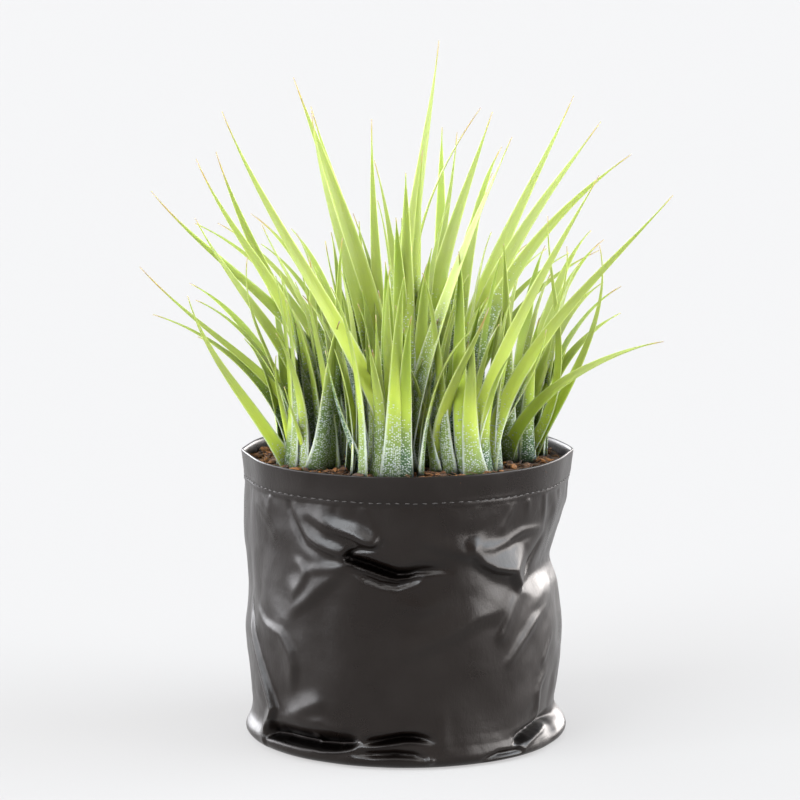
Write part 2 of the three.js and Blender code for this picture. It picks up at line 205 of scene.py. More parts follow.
class Graph:
    """A node tree that is built up from expressions."""

    def __init__(self, tree: bpy.types.NodeTree) -> None:
        """Takes the tree and clears it."""
        self.tree = tree
        tree.nodes.clear()

    @staticmethod
    def _socket(sockets: bpy.types.bpy_prop_collection, name: Name) -> bpy.types.NodeSocket:
        """The socket with that place, identifier or name."""
        if isinstance(name, int):
            return sockets[name]
        return next((found for found in sockets if found.identifier == name), None) or sockets[name]

    def node(
        self,
        kind: str,
        output: Name,
        settings: dict[str, object] | None = None,
        inputs: dict[Name, Source] | None = None,
    ) -> Value:
        """Adds one node.

        Args:
            kind: the node's type.
            output: the output that is wanted, by place, identifier or name.
            settings: properties of the node, set before its sockets.
            inputs: values or links of its sockets.

        Returns:
            The wanted output.
        """
        made = self.tree.nodes.new(kind)
        for name, setting in (settings or {}).items():
            setattr(made, name, setting)
        for name, source in (inputs or {}).items():
            socket = self._socket(made.inputs, name)
            if isinstance(source, Value):
                self.tree.links.new(source.socket, socket)
            else:
                socket.default_value = source
        return Value(self, self._socket(made.outputs, output))

    def end(self, kind: str, shader: Value) -> None:
        """Adds the node that a tree ends in."""
        made = self.tree.nodes.new(kind)
        self.tree.links.new(shader.socket, made.inputs["Surface"])

    def mix(self, share: Source, first: Source, second: Source) -> Value:
        """A colour between two others: a share of 0 gives the first and 1 the second."""
        settings = {"data_type": "RGBA", "clamp_factor": True}
        inputs = {"Factor_Float": share, "A_Color": first, "B_Color": second}
        return self.node("ShaderNodeMix", "Result_Color", settings, inputs)

    def stretched(self, vector: Value, by: Point) -> Value:
        """A vector with each of its parts multiplied."""
        inputs = {0: vector, 1: by}
        return self.node("ShaderNodeVectorMath", "Vector", {"operation": "MULTIPLY"}, inputs)

    def along(self, vector: Value, direction: Point) -> Value:
        """How far a vector points along a direction."""
        inputs = {0: vector, 1: direction}
        return self.node("ShaderNodeVectorMath", "Value", {"operation": "DOT_PRODUCT"}, inputs)

    def part(self, vector: Value, which: int) -> Value:
        """One of the three parts of a vector."""
        return self.node("ShaderNodeSeparateXYZ", which, None, {0: vector})

    def kept(self, name: str) -> Value:
        """A vector that is kept on the mesh's points."""
        return self.node("ShaderNodeAttribute", "Vector", {"attribute_name": name})

    def place(self) -> Value:
        """The place on the piece, in metres."""
        return self.node("ShaderNodeTexCoord", "Object")

    def noise(self, vector: Value, scale: float, detail: float = 2.0, rough: float = 0.5) -> Value:
        """Soft noise from 0 to 1 at a vector."""
        inputs = {"Vector": vector, "Scale": scale, "Detail": detail, "Roughness": rough}
        return self.node("ShaderNodeTexNoise", 0, None, inputs)

    def bump(self, height: Value, depth: float) -> Value:
        """A normal roughened by a height from 0 to 1 that stands depth metres tall."""
        inputs = {"Height": height, "Distance": depth, "Strength": 1.0}
        return self.node("ShaderNodeBump", "Normal", None, inputs)


class Finish:
    """What every finish shares: a named material with one shader."""

    name = "finish"

    def sockets(self, graph: Graph) -> dict[Name, Source]:
        """Values and links of the shader's sockets."""
        raise NotImplementedError

    def material(self) -> bpy.types.Material:
        """The finished material."""
        made = bpy.data.materials.new(self.name)
        made.use_nodes = True
        graph = Graph(made.node_tree)
        shader = graph.node("ShaderNodeBsdfPrincipled", "BSDF", None, self.sockets(graph))
        graph.end("ShaderNodeOutputMaterial", shader)
        return made


@dataclass(frozen=True)
class FilmFinish(Finish):
    """Soft black plastic film with a satin gloss, cloudy and finely creased, with painted shade in its
    crisp hollows.

    Smooth is the least roughness. Hazy and grainy are what clouds and grain add to it. In a
    hollow the film takes a near-black colour and a share of metal, which keeps the pale room out
    of its reflection: both are painted shade.
    """

    name: str = "black_film"
    dark: Colour = colour(0.00496, 0.00304, 0.00224)
    cloudy: Colour = colour(0.0076, 0.00544, 0.00448)
    # Painted shade: the near-black colour that the film's crisp hollows take
    painted_shade: Colour = colour(0.0022, 0.0013, 0.001)
    cloud_scale: float = 38.0
    cloud_colour: Pair = (0.35, 0.7)
    cloud_gloss: Pair = (0.3, 0.75)
    crease_scale: float = 210.0
    crease_stretch: Point = (1.0, 1.0, 0.6)
    crease_sharpness: float = 5.0
    crease_share: float = 0.6
    grain_scale: float = 2600.0
    smooth: float = 0.24
    hazy: float = 0.12
    grainy: float = 0.04
    # Painted shade: share of metal in a hollow, which with the dark colour dims its reflection of the
    # room
    painted_shade_metal: float = 0.85
    ior: float = 1.33
    crease: float = 0.00006
    grain: float = 0.00002

    def sockets(self, graph: Graph) -> dict[Name, Source]:
        """Black film: cloudy colour, uneven gloss, creases too fine for the mesh, painted shade in
        hollows.
        """
        place = graph.place()
        cloud = graph.noise(place, self.cloud_scale, 3.0)
        drawn = graph.stretched(place, self.crease_stretch)
        creases = (graph.noise(drawn, self.crease_scale, 3.0, 0.6) - 0.5).size()
        grain = graph.noise(place, self.grain_scale, 1.0)
        # How much painted shade each point takes, kept on the mesh
        hollow = graph.part(graph.kept("hollow"), 0)
        own = graph.mix(cloud.ramp(*self.cloud_colour), self.dark, self.cloudy)
        ridges = 1.0 - creases * self.crease_sharpness
        height = ridges.most(0.0) * self.crease_share + grain * (self.grain / self.crease)
        haze = cloud.ramp(*self.cloud_gloss) * self.hazy
        return {
            # Painted shade: hollows turn near-black, and metal there dims their reflection
            "Base Color": graph.mix(hollow, own, self.painted_shade),
            "Metallic": hollow * self.painted_shade_metal,
            "Roughness": self.smooth + haze + grain * self.grainy,
            "Normal": graph.bump(height, self.crease),
            "IOR": self.ior,
        }


@dataclass(frozen=True)
class ThreadFinish(Finish):
    """Dark grey twisted sewing thread."""

    name: str = "seam_thread"
    dark: Colour = colour(0.0084, 0.007, 0.0063)
    light: Colour = colour(0.0385, 0.0336, 0.0315)
    twist_scale: float = 1900.0
    twist_stretch: Point = (1.0, 1.0, 3.0)
    twist_colour: Pair = (0.35, 0.65)
    smooth: float = 0.55
    hazy: float = 0.2
    depth: float = 0.00015

    def sockets(self, graph: Graph) -> dict[Name, Source]:
        """Thread: its twist shows as fine light and dark turns."""
        drawn = graph.stretched(graph.place(), self.twist_stretch)
        twist = graph.noise(drawn, self.twist_scale, 1.0)
        return {
            "Base Color": graph.mix(twist.ramp(*self.twist_colour), self.dark, self.light),
            "Roughness": self.smooth + twist * self.hazy,
            "Normal": graph.bump(twist, self.depth),
        }


@dataclass(frozen=True)
class SoilFinish(Finish):
    """Dark crumbly potting bed, or the orange and brown chips that lie on it."""

    name: str = "potting_bed"
    dark: Colour = colour(0.00744, 0.00372, 0.00186)
    brown: Colour = colour(0.0465, 0.0186, 0.00682)
    orange: Colour = colour(0.211, 0.0837, 0.0198)
    chips: bool = False
    grain_scale: float = 900.0
    crumb_scale: float = 260.0
    tone_span: Pair = (0.25, 0.9)
    grain_span: Pair = (0.3, 0.62)
    crumb_span: Pair = (0.38, 0.68)
    smooth: float = 0.78
    hazy: float = 0.2
    depth: float = 0.0006

    def sockets(self, graph: Graph) -> dict[Name, Source]:
        """Soil: brown crumbs over dark gaps, or chips each with its own tone."""
        place = graph.place()
        grain = graph.noise(place, self.grain_scale, 3.0, 0.65)
        crumb = graph.noise(place, self.crumb_scale, 3.0, 0.6)
        if self.chips:
            tone = graph.part(graph.kept("habit"), 0)
            own = graph.mix(tone.ramp(*self.tone_span), self.brown, self.orange)
            base = graph.mix(grain.ramp(*self.grain_span), self.dark, own)
        else:
            base = graph.mix(crumb.ramp(*self.crumb_span), self.dark, self.brown)
        return {
            "Base Color": base,
            "Roughness": self.smooth + grain * self.hazy,
            "Normal": graph.bump(grain * 0.5 + crumb * 0.5, self.depth),
        }


@dataclass(frozen=True)
class LeafFinish(Finish):
    """Lime-green leaf with pale margins, and rows of white scales over its dark lower part.
    Some of its colour is painted light: a painted fill light over the lower blade, painted shade
    at its foot and on the crown, and pale margins that are partly the leaf's own pale edge and
    partly a painted edge highlight.

    A pair is the span over which one look gives way to the next. A span along the blade counts
    from 0 at the root to 1 at the tip.
    """

    name: str = "sky_plant_leaf"
    lime: Colour = colour(0.216, 0.252, 0.063)
    green: Colour = colour(0.129, 0.207, 0.0072)
    # Painted fill light: a brighter lime laid over the lower blade, where the packed leaves shade it
    bright: Colour = colour(0.46, 0.56, 0.07)
    shade: Colour = colour(0.018, 0.058, 0.014)
    scale: Colour = colour(0.336, 0.372, 0.342)
    # Pale margin: partly the leaf's own pale edge, partly a painted edge highlight and glow
    margin: Colour = colour(0.36, 0.396, 0.18)
    frost: Colour = colour(0.348, 0.384, 0.336)
    dry: Colour = colour(0.252, 0.162, 0.06)
    husk: Colour = colour(0.24, 0.186, 0.138)
    # Painted shade of the packed bases, partly also their dark sheaths: the near-black of the leaf's
    # foot and the crown
    hollow: Colour = colour(0.004, 0.007, 0.003)

    # Spans along the blade
    lime_span: Pair = (0.0, 0.6)
    painted_fill_span: Pair = (0.65, 0.15)
    scurf_span: Pair = (0.14, -0.22)
    frost_span: Pair = (0.5, 0.15)
    rim_span: Pair = (0.6, 0.1)
    # Spans of the painted shade and dark sheath at the leaf's foot and on the crown
    sheath_and_shade_span: Pair = (0.13, 0.0)
    crown_sheath_and_shade_span: Pair = (0.03, 0.0)
    dry_span: Pair = (0.97, 1.06)
    husk_span: Pair = (0.985, 1.01)

    # Spans of the patterns and of the way across
    vein_span: Pair = (0.3, 0.75)
    shown_span: Pair = (-0.05, 0.12)
    scale_span: Pair = (0.53, 0.38)
    edge_span: Pair = (0.72, 0.95)

    # How far each pattern is stretched over the blade, per millimetre
    cloud_stretch: Point = (0.12, 0.05, 1.0)
    vein_stretch: Point = (2.6, 0.05, 1.0)
    cell_stretch: Point = (1.25, 1.9, 1.0)
    cell_disorder: float = 0.6

    # What makes a blade lime: a start, its length, its tone, and clouds
    lime_start: float = 0.34
    lime_along: float = 0.45
    lime_tone: float = 0.4
    lime_cloud: float = 0.5

    # How strongly each look shows, and how far tone, clouds or withering move it
    vein_share: float = 0.22
    under_share: float = 0.25
    # Painted fill light over the lower blade: its share and how far tone moves it
    painted_fill_share: float = 0.66
    painted_fill_tone: float = 0.2
    shade_share: float = 0.9
    shade_tone: float = 0.3
    scurf_cloud: float = 0.25
    scale_share: float = 0.85
    scale_dust: float = 0.05
    shown_share: float = 0.85
    rim_share: float = 0.45
    rim_foot: float = 0.4
    # Painted shade at the leaf's foot and on the crown, partly the dark sheaths there
    sheath_and_shade_share: float = 0.6
    crown_sheath_and_shade_share: float = 0.4
    dry_share: float = 0.9
    dry_reach: float = 0.15
    husk_reach: float = 0.05

    # Gloss, relief and the light that passes through
    smooth: float = 0.48
    rougher: float = 0.2
    scale_height: float = 0.6
    vein_height: float = 0.35
    depth: float = 0.00022
    specular: float = 0.22
    thin: float = 0.3
    glow_radius: Point = (0.8, 1.0, 0.12)
    glow_scale: float = 0.0016

    def sockets(self, graph: Graph) -> dict[Name, Source]:
        """Leaf: colour and gloss from where on the blade a point lies."""
        place = graph.kept("place")
        across = graph.part(place, 0).size()
        along = graph.part(place, 1)
        habit = graph.kept("habit")
        scurf = graph.part(habit, 0)
        dry = graph.part(habit, 1)
        tone = graph.part(habit, 2)
        blade = graph.kept("blade")
        cloud = graph.noise(graph.stretched(blade, self.cloud_stretch), 1.0, 2.0)
        veins = graph.noise(graph.stretched(blade, self.vein_stretch), 1.0, 2.0)
        light = along.ramp(*self.lime_span) * self.lime_along + tone * self.lime_tone
        light = light + (cloud - 0.5) * self.lime_cloud + self.lime_start
        zone = (along - scurf + (cloud - 0.5) * self.scurf_cloud).ramp(*self.scurf_span)
        scales = self._scales(graph, blade, zone)
        end = (along + dry * self.dry_reach).ramp(*self.dry_span)
        rim = graph.mix(along.ramp(*self.frost_span), self.margin, self.frost)
        rim_share = self.rim_share + along.ramp(*self.rim_span) * self.rim_foot
        sheath_and_shade = along.ramp(*self.sheath_and_shade_span) * self.sheath_and_shade_share
        bright = self.painted_fill_share + tone * self.painted_fill_tone
        base = graph.mix(light.ramp(0.0, 1.0), self.green, self.lime)
        for share, over in (
            (veins.ramp(*self.vein_span) * self.vein_share, self.green),
            (graph.part(place, 2) * self.under_share, self.green),
            # painted fill light over the lower blade
            (along.ramp(*self.painted_fill_span) * bright, self.bright),
            (zone * (self.shade_share - tone * self.shade_tone), self.shade),
            (scales * self.scale_share + zone * self.scale_dust, self.scale),
            # pale margins, partly the leaf's own edge and partly a painted edge highlight
            (across.ramp(*self.edge_span) * rim_share, rim),
            # painted shade and dark sheath at the foot and on the crown
            (sheath_and_shade + along.ramp(*self.crown_sheath_and_shade_span) * self.crown_sheath_and_shade_share, self.hollow),
            (end * self.dry_share, self.dry),
            ((along + dry * self.husk_reach).ramp(*self.husk_span), self.husk),
        ):
            base = graph.mix(share, base, over)
        rougher = self.rougher
        return {
            "Base Color": base,
            "Roughness": self.smooth + zone * rougher + scales * rougher + end * rougher,
            "Specular IOR Level": self.specular,
            "Normal": graph.bump(scales * self.scale_height + veins * self.vein_height, self.depth),
            "Subsurface Weight": self.thin,
            "Subsurface Radius": self.glow_radius,
            "Subsurface Scale": self.glow_scale,
        }

    def _scales(self, graph: Graph, blade: Value, zone: Value) -> Value:
        """Round white scales in rows, one in each cell, fewer where the scurfy zone ends."""
        settings = {"voronoi_dimensions": "3D", "feature": "F1"}
        cells = graph.stretched(blade, self.cell_stretch)
        inputs = {"Vector": cells, "Scale": 1.0, "Randomness": self.cell_disorder}
        far = graph.node("ShaderNodeTexVoronoi", "Distance", settings, inputs)
        own = graph.node("ShaderNodeTexVoronoi", "Color", settings, inputs)
        shown = (zone * self.shown_share - graph.part(own, 0)).ramp(*self.shown_span)
        return far.ramp(*self.scale_span) * shown


@dataclass(frozen=True)
class FloorFinish(Finish):
    """Plain pale studio floor with an even glow."""

    name: str = "pale_floor"
    pale: Colour = colour(0.12, 0.12, 0.12)
    glow: Colour = colour(0.515, 0.508, 0.508)
    matt: float = 0.9

    def sockets(self, graph: Graph) -> dict[Name, Source]:
        """Floor: one matt pale colour."""
        return {
            "Base Color": self.pale,
            "Roughness": self.matt,
            "Specular IOR Level": 0.0,
            "Emission Color": self.glow,
            "Emission Strength": 1.0,
        }


class Shape:
    """A mesh in the making: closed skins in millimetres, with vectors kept on their points."""

    def __init__(self) -> None:
        """Starts with nothing."""
        self.points: list[Array] = []
        self.faces: list[list[int]] = []
        self.kept: dict[str, list[Array]] = {}
        self.count = 0

    def skin(
        self,
        rings: Array,
        first: Array | None = None,
        last: Array | None = None,
        kept: dict[str, Array] | None = None,
    ) -> None:
        """Adds a closed skin over rings of points, with a fan at each end.

        Args:
            rings: the points, by ring and by place on the ring.
            first: the middle of the first fan, or nothing for the first ring's own middle.
            last: the same for the last fan and ring.
            kept: vectors on the rings' points.
        """
        rows, columns = rings.shape[:2]
        here = np.arange(columns)
        beside = (here + 1) % columns
        base = 1 + np.arange(rows - 1)[:, None] * columns
        patches = [base + here, base + beside, base + beside + columns, base + here + columns]
        quads = np.stack(patches, axis=-1).reshape(-1, 4)
        final = rows * columns + 1
        top = final - columns
        low_fan = np.stack([0 * here, 1 + beside, 1 + here], axis=-1)
        high_fan = np.stack([top + here, top + beside, 0 * here + final], axis=-1)
        for faces in (quads, low_fan, high_fan):
            self.faces.extend((faces + self.count).tolist())
        first = rings[0].mean(axis=0) if first is None else first
        last = rings[-1].mean(axis=0) if last is None else last
        self.points.append(np.vstack([first, rings.reshape(-1, 3), last]))
        for name, vectors in (kept or {}).items():
            ends = (vectors[0].mean(axis=0), vectors[-1].mean(axis=0))
            held = np.vstack([ends[0], vectors.reshape(-1, 3), ends[1]])
            self.kept.setdefault(name, []).append(held)
        self.count += final + 1

    def build(self, name: str, material: bpy.types.Material, slot: Slot, *nodes: str) -> None:
        """Makes the object, in metres, and sets it on the body.

        Args:
            name: the piece's name.
            material: its finish.
            slot: the record's slot that the finish belongs to; not used.
            nodes: the solids that the piece stands for.
        """
        mesh = bpy.data.meshes.new(name)
        mesh.from_pydata((np.vstack(self.points) * MM).tolist(), [], self.faces)
        for key, vectors in self.kept.items():
            layer = mesh.attributes.new(key, "FLOAT_VECTOR", "POINT")
            layer.data.foreach_set("vector", np.vstack(vectors).astype(np.float32).ravel())
        mesh.polygons.foreach_set("use_smooth", np.ones(len(mesh.polygons), dtype=bool))
        mesh.materials.append(material)
        mesh.update()
        piece = bpy.data.objects.new(name, mesh)
        bpy.context.scene.collection.objects.link(piece)
        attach(piece, BODY)
        if nodes:
            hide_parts(*nodes)
        LOG.info("%s: %d triangles", name, sum(len(face) - 2 for face in self.faces))


@dataclass(frozen=True)
class Fold:
    """A crest of the film, or a hollow where its rise is negative.

    The line runs through points of (angle, height, how far out). Left and right are how far the
    film takes to fall back on the two sides of the run, in millimetres. A crisp fold keeps a
    sharp crest, and its hollow is darkened with painted shade.
    """

    line: Line
    left: float
    right: float
    crisp: bool = False


# Folds of the seen half, from the top down
FOLDS = (
    # The tongue at the upper left
    Fold(((-135, 95.5, 0), (-134, 91.5, 0.9), (-130, 86, 1.5), (-126.5, 82.5, 1.8), (-121.5, 80, 2.2),
          (-117, 78.5, 2.5), (-112.5, 77, 1.6), (-112, 76.5, 0)), 4.5, 1.1),
    Fold(((-132, 91, 0), (-125, 90, 1), (-117, 87, 2), (-109, 85, 3), (-104.5, 83, 3.8),
          (-101, 82, 3.4), (-99.5, 81.5, 0)), 5.5, 2.2),
    Fold(((-99.5, 86.5, 0), (-99, 82.5, -1.2), (-101.5, 80.5, -1.8), (-107, 80, -2.2),
          (-110.5, 79, -2.8), (-112, 77, -3.2), (-111.5, 74.5, 0)), 1.2, 1.2, True),
    Fold(((-106, 97, 0.5), (-104.5, 94, 1.1), (-102, 89, 1), (-100, 84, 0)), 1.3, 1.6),
    Fold(((-108, 97, -1), (-107.5, 94, -0.9), (-106.5, 90.5, 0)), 1, 1.4),
    Fold(((-135, 97, -0.5), (-135.5, 92.5, -1.3), (-131, 85, -1.6), (-128, 80.5, -1.4),
          (-122.5, 78, -1.2), (-117, 75.5, -0.9), (-113, 75.5, 0)), 0.9, 2.4),
    # Under the tongue
    Fold(((-128, 70.5, 0), (-124.5, 71.5, 1), (-118, 72.5, 1.2), (-113, 73, 1), (-112, 72, 0)),
          2.4, 2.2),
    Fold(((-135, 74, 0), (-130.5, 73, 1.1), (-127.5, 70, 1.6), (-129, 66.5, 1.5), (-132.5, 62, 1.2),
          (-134, 58, 0)), 2.2, 7),
    Fold(((-112, 72.5, 0), (-117, 68.5, 1.3), (-121.5, 65, 1.5), (-126, 60.5, 1.4),
          (-131.5, 56.5, 1.2), (-135.5, 52.5, 0)), 3, 7.5),
    # The long dark groove in the middle
    Fold(((-113, 77, 0), (-111, 76, -3.5), (-108, 75, -5), (-104, 74, -5.6), (-99, 72.3, -5.8),
          (-93.5, 70.6, -5.4), (-89.5, 71, -4.2), (-86.5, 72, -3.2), (-83, 72.5, -2.6),
          (-78, 72.7, -1.6), (-72.5, 72, 0)), 4.2, 1.1, True),
    Fold(((-112, 73.5, 0), (-105, 69.7, -2), (-99, 67.6, -2.6), (-93.5, 67, -2.6), (-87, 69, -1.8),
          (-83.5, 70.5, 0)), 2.2, 0.8, True),
    # The slope beside the pouch
    Fold(((-86.5, 84, 0), (-81, 82, 1.1), (-74, 79.5, 1.8), (-67.5, 77.5, 2.4), (-65.5, 76.5, 0)),
          8, 3),
    # The hanging pouch at the upper right
    Fold(((-68, 84, 0), (-65.5, 78, 2.2), (-62.5, 74.5, 3), (-58, 72, 3.3), (-49.5, 70, 3.6),
          (-46, 64.5, 2.8), (-45, 62, 0)), 11, 2.6, True),
    Fold(((-67, 84, 0), (-64.5, 81, 0.8), (-59.5, 79.5, 1), (-55, 80.5, 1.1), (-49.5, 82, 1.2),
          (-44, 84, 1.3), (-37.5, 83.5, 1.2), (-30, 82.5, 0.6), (-28, 82, 0)), 1.3, 1.5),
    Fold(((-62.5, 78.5, 0), (-56.5, 78, -0.3), (-49, 79.5, -0.5), (-40.5, 81.5, -0.5),
          (-32.5, 81.5, 0)), 1.6, 1.8),
    Fold(((-27, 81.5, 0), (-32, 77, -1.4), (-38, 71.5, -2.4), (-43, 65, -2.2), (-45, 62, 0)), 2, 1),
    Fold(((-67, 80, 0), (-64.5, 73, -0.7), (-58, 68, -0.9), (-51, 65, -0.8), (-48, 60, 0)), 2.5, 6),
    Fold(((-39.5, 72.5, 0), (-41, 69, 1), (-43.5, 65, 1.2), (-45, 63, 1.1), (-43, 61, 0.6),
          (-36.5, 59, 0)), 0.9, 0.9),
    # Short gathers over the pouch
    Fold(((-47.5, 96.5, 0.3), (-49.5, 92.5, 0.9), (-53.5, 86.5, 1), (-55, 85, 0)), 0.9, 1.3),
    Fold(((-31, 98.5, 0.5), (-30.5, 90.5, 1), (-29, 83, 0)), 1.4, 2.2),
    # The broad dark slope in the middle
    Fold(((-98, 43.5, 0), (-91.5, 43, 0.6), (-83.5, 45.5, 1.1), (-73.5, 50, 1.4), (-65, 54.5, 1.5),
          (-55.5, 56, 1), (-49.5, 56.5, 0)), 9.5, 5),
    Fold(((-97.5, 60, 0), (-91.5, 60, 0.5), (-84.5, 58.5, 0.6), (-79, 59.5, 0.5), (-72, 62.5, 0)),
          5, 2.5),
    # Thin gathers at the left edge
    Fold(((-165.5, 95, 0), (-154.5, 88.5, 0.7), (-144.5, 81, 0.7), (-143.5, 79.5, 0)), 1.1, 1.1),
    Fold(((-156, 96, 0), (-150, 90.5, 0.6), (-143.5, 83.5, 0.6), (-143.5, 81, 0)), 0.9, 0.9),
    # The left side's long edges
    Fold(((-165.5, 56.5, 0), (-163, 49, 1), (-159.5, 43.5, 1.6), (-153, 33, 2.4), (-147, 22.5, 3),
          (-144, 16.5, 3.4), (-145.5, 13, 3.2), (-149, 9, 2.6), (-150, 0.5, 0)), 1.1, 6.5, True),
    Fold(((-162, 56, 0), (-148.5, 47.5, 1), (-138.5, 46, 1.6), (-134, 40, 1.9), (-132.5, 35.5, 1.9),
          (-133.5, 30, 1.5), (-136, 24, 0)), 2.6, 8),
    Fold(((-140, 15.5, 0), (-132.5, 17.5, 1.6), (-127, 20, 1.7), (-122, 22.5, 1.2), (-120, 24.5, 0)),
          7, 3.5),
    # The pocket at the lower left
    Fold(((-149.5, 6.5, 0), (-147, 6.5, -4.5), (-140, 7, -6.2), (-129.5, 7, -6.6), (-121, 7, -6.2),
          (-115, 7.4, -5.4), (-109.5, 8.4, -4), (-105.5, 10.5, 0)), 6.2, 1.3, True),
    Fold(((-127, 10.5, 0), (-124.5, 9, 2.6), (-122.5, 6.5, 0)), 1.1, 1.1, True),
    Fold(((-146, 14, 0), (-138, 14.5, 0.7), (-129.5, 15, 1), (-122, 15, 1), (-117, 13.5, 0.7),
          (-113, 12, 0)), 3.5, 1.1),
    Fold(((-106, 10.5, 0), (-110, 7, 0.8), (-115, 5.5, 0.9), (-122, 4.5, 0.8), (-127, 6.5, 0)),
          0.8, 0.8, True),
    # Creases in front at the foot
    Fold(((-107, 9, 0), (-102, 9.6, -3.6), (-96, 10.6, -4.8), (-91, 11.4, -5), (-87, 11.4, -4.4),
          (-83, 10.6, -2.6), (-79.5, 9.5, 0)), 3.2, 0.9, True),
    Fold(((-110, 5.4, 0), (-102, 5.2, -3), (-94, 5.6, -3.8), (-88, 5.2, -3.2), (-84, 4.2, -1.4),
          (-82, 4, 0)), 2.6, 0.8, True),
    Fold(((-83.5, 4.5, 0), (-81.5, 3.5, 1.8), (-80, 3.5, 0)), 1.2, 1.4, True),
    # The slit at the lower right
    Fold(((-50, 6.5, 0), (-47.5, 6.8, -3.4), (-43, 8, -5), (-35.5, 9, -5.4), (-27, 10, -4.4),
          (-18.5, 9.5, -2.4), (-10, 8.5, 0)), 4, 1.4, True),
    Fold(((-48, 9, 0), (-49.5, 7.5, 1.1), (-47, 5.5, 1.3), (-44.5, 3.5, 1.1), (-42, 5.5, 1),
          (-36.5, 7, 0.9), (-25.5, 8.5, 0)), 0.8, 0.8, True),
    Fold(((-63.5, 2, 0), (-60.5, 2.5, -1.6), (-56, 3.5, -2.8), (-48, 3.5, -2.2), (-44, 3, 0)),
          1.6, 0.8, True),
    Fold(((-64, 1.5, 0), (-58.5, 1.5, 1), (-51, 2, 1.2), (-42, 2, 1.2), (-31, 1.5, 0.9), (-22, 1, 0)),
          1, 2.5),
    # The right side's slanting edges
    Fold(((-22.5, 55, 0), (-38, 50, 1.1), (-46, 43, 1.4), (-51, 37, 0.7), (-52.5, 35, 0)), 4, 2),
    Fold(((-21.5, 43.5, 0), (-27, 38.5, 1), (-31, 33.5, 1), (-32.5, 32, 0)), 1, 1.5),
    Fold(((-26.5, 30.5, 0), (-32.5, 25.5, 1.1), (-34, 22.5, 1.4), (-33, 16, 1.6), (-36, 11, 1.6),
          (-39, 9.5, 0)), 1.2, 4),
    Fold(((-45.5, 63.5, 0), (-49, 58.5, 1.1), (-52, 53, 1.5), (-55.5, 47, 1.5), (-56.5, 44.5, 0)),
          6, 2),
    # The soft upright swelling
    Fold(((-77.5, 23.5, 0), (-77.5, 16, 0.8), (-77.5, 9.5, 0.7), (-77, 6, 0)), 4, 2.5),
)

# Broad flat panels of the seen half: the film runs flat from one line to the next
FRONT_PANELS: tuple[Line, ...] = (
    ((-180, 58, -1), (-168, 58, -0.8), (-155, 56, 0)),
    ((-180, 74, 0.6), (-165, 74, 0.4)),
    ((-158, 80, 0.2), (-148, 79, 0.1), (-138, 77, -0.2)),
    ((-152, 54, 0.9), (-145, 52, 1.5), (-137, 50, 1.6), (-128, 56, 1)),
    ((-180, 40, 0.4), (-165, 38, 0.3)),
    ((-180, 18, -1), (-165, 18, -0.8), (-150, 18, 0)),
    ((-180, 10, -1.6), (-165, 9.5, -1.6), (-152, 10, -1), (-142, 11, 0)),
    ((-180, 4, 0.2), (-165, 4, 0.1), (-150, 4.5, 0.1), (-120, 4.5, 0.2), (-90, 4.5, 0), (-60, 4.5, 0),
     (-40, 4.5, 0.1)),
    ((-122, 52, 0), (-118, 30, 0), (-120, 14, 0)),
    ((-90, 88, 0), (-92, 60, 0.4), (-90, 30, 0.3), (-90, 14, 0)),
    ((-54, 90, 0), (-51, 70, 0), (-50, 50, 0), (-50, 30, 0), (-48, 14, 0)),
    ((-46, 64, -0.8), (-38, 66.5, -3.6), (-24, 67.5, -6), (-10, 67, -6.9), (10, 67, -6.9),
     (26, 66, -4.6)),
    ((26, 66, -4.6), (38, 64, -2)),
    ((-36, 79, -1.4), (-22, 80, -2.6), (-8, 80, -2.8), (8, 80, -2.8), (24, 80, -1.6)),
    ((-36, 58, -1), (-24, 59, -2.6), (-10, 58.5, -3.5), (10, 58.5, -3.4), (26, 58, -2.4)),
    ((-20, 88, -0.4), (0, 88, -0.6), (20, 88, -0.4)),
    ((-24, 46, -1), (-10, 44, -1.8), (10, 46, -1.8), (24, 44, -0.6)),
    ((-18, 31, -1.6), (0, 30, -1.9), (16, 31, -1.6)),
    ((-16, 20, -2.2), (2, 20, -2.6), (20, 19, -2)),
    ((-22, 11, -4), (-6, 11, -4.2), (8, 11, -4.2)),
    ((-20, 4, 0), (0, 4.5, 0), (12, 4, 0)),
)

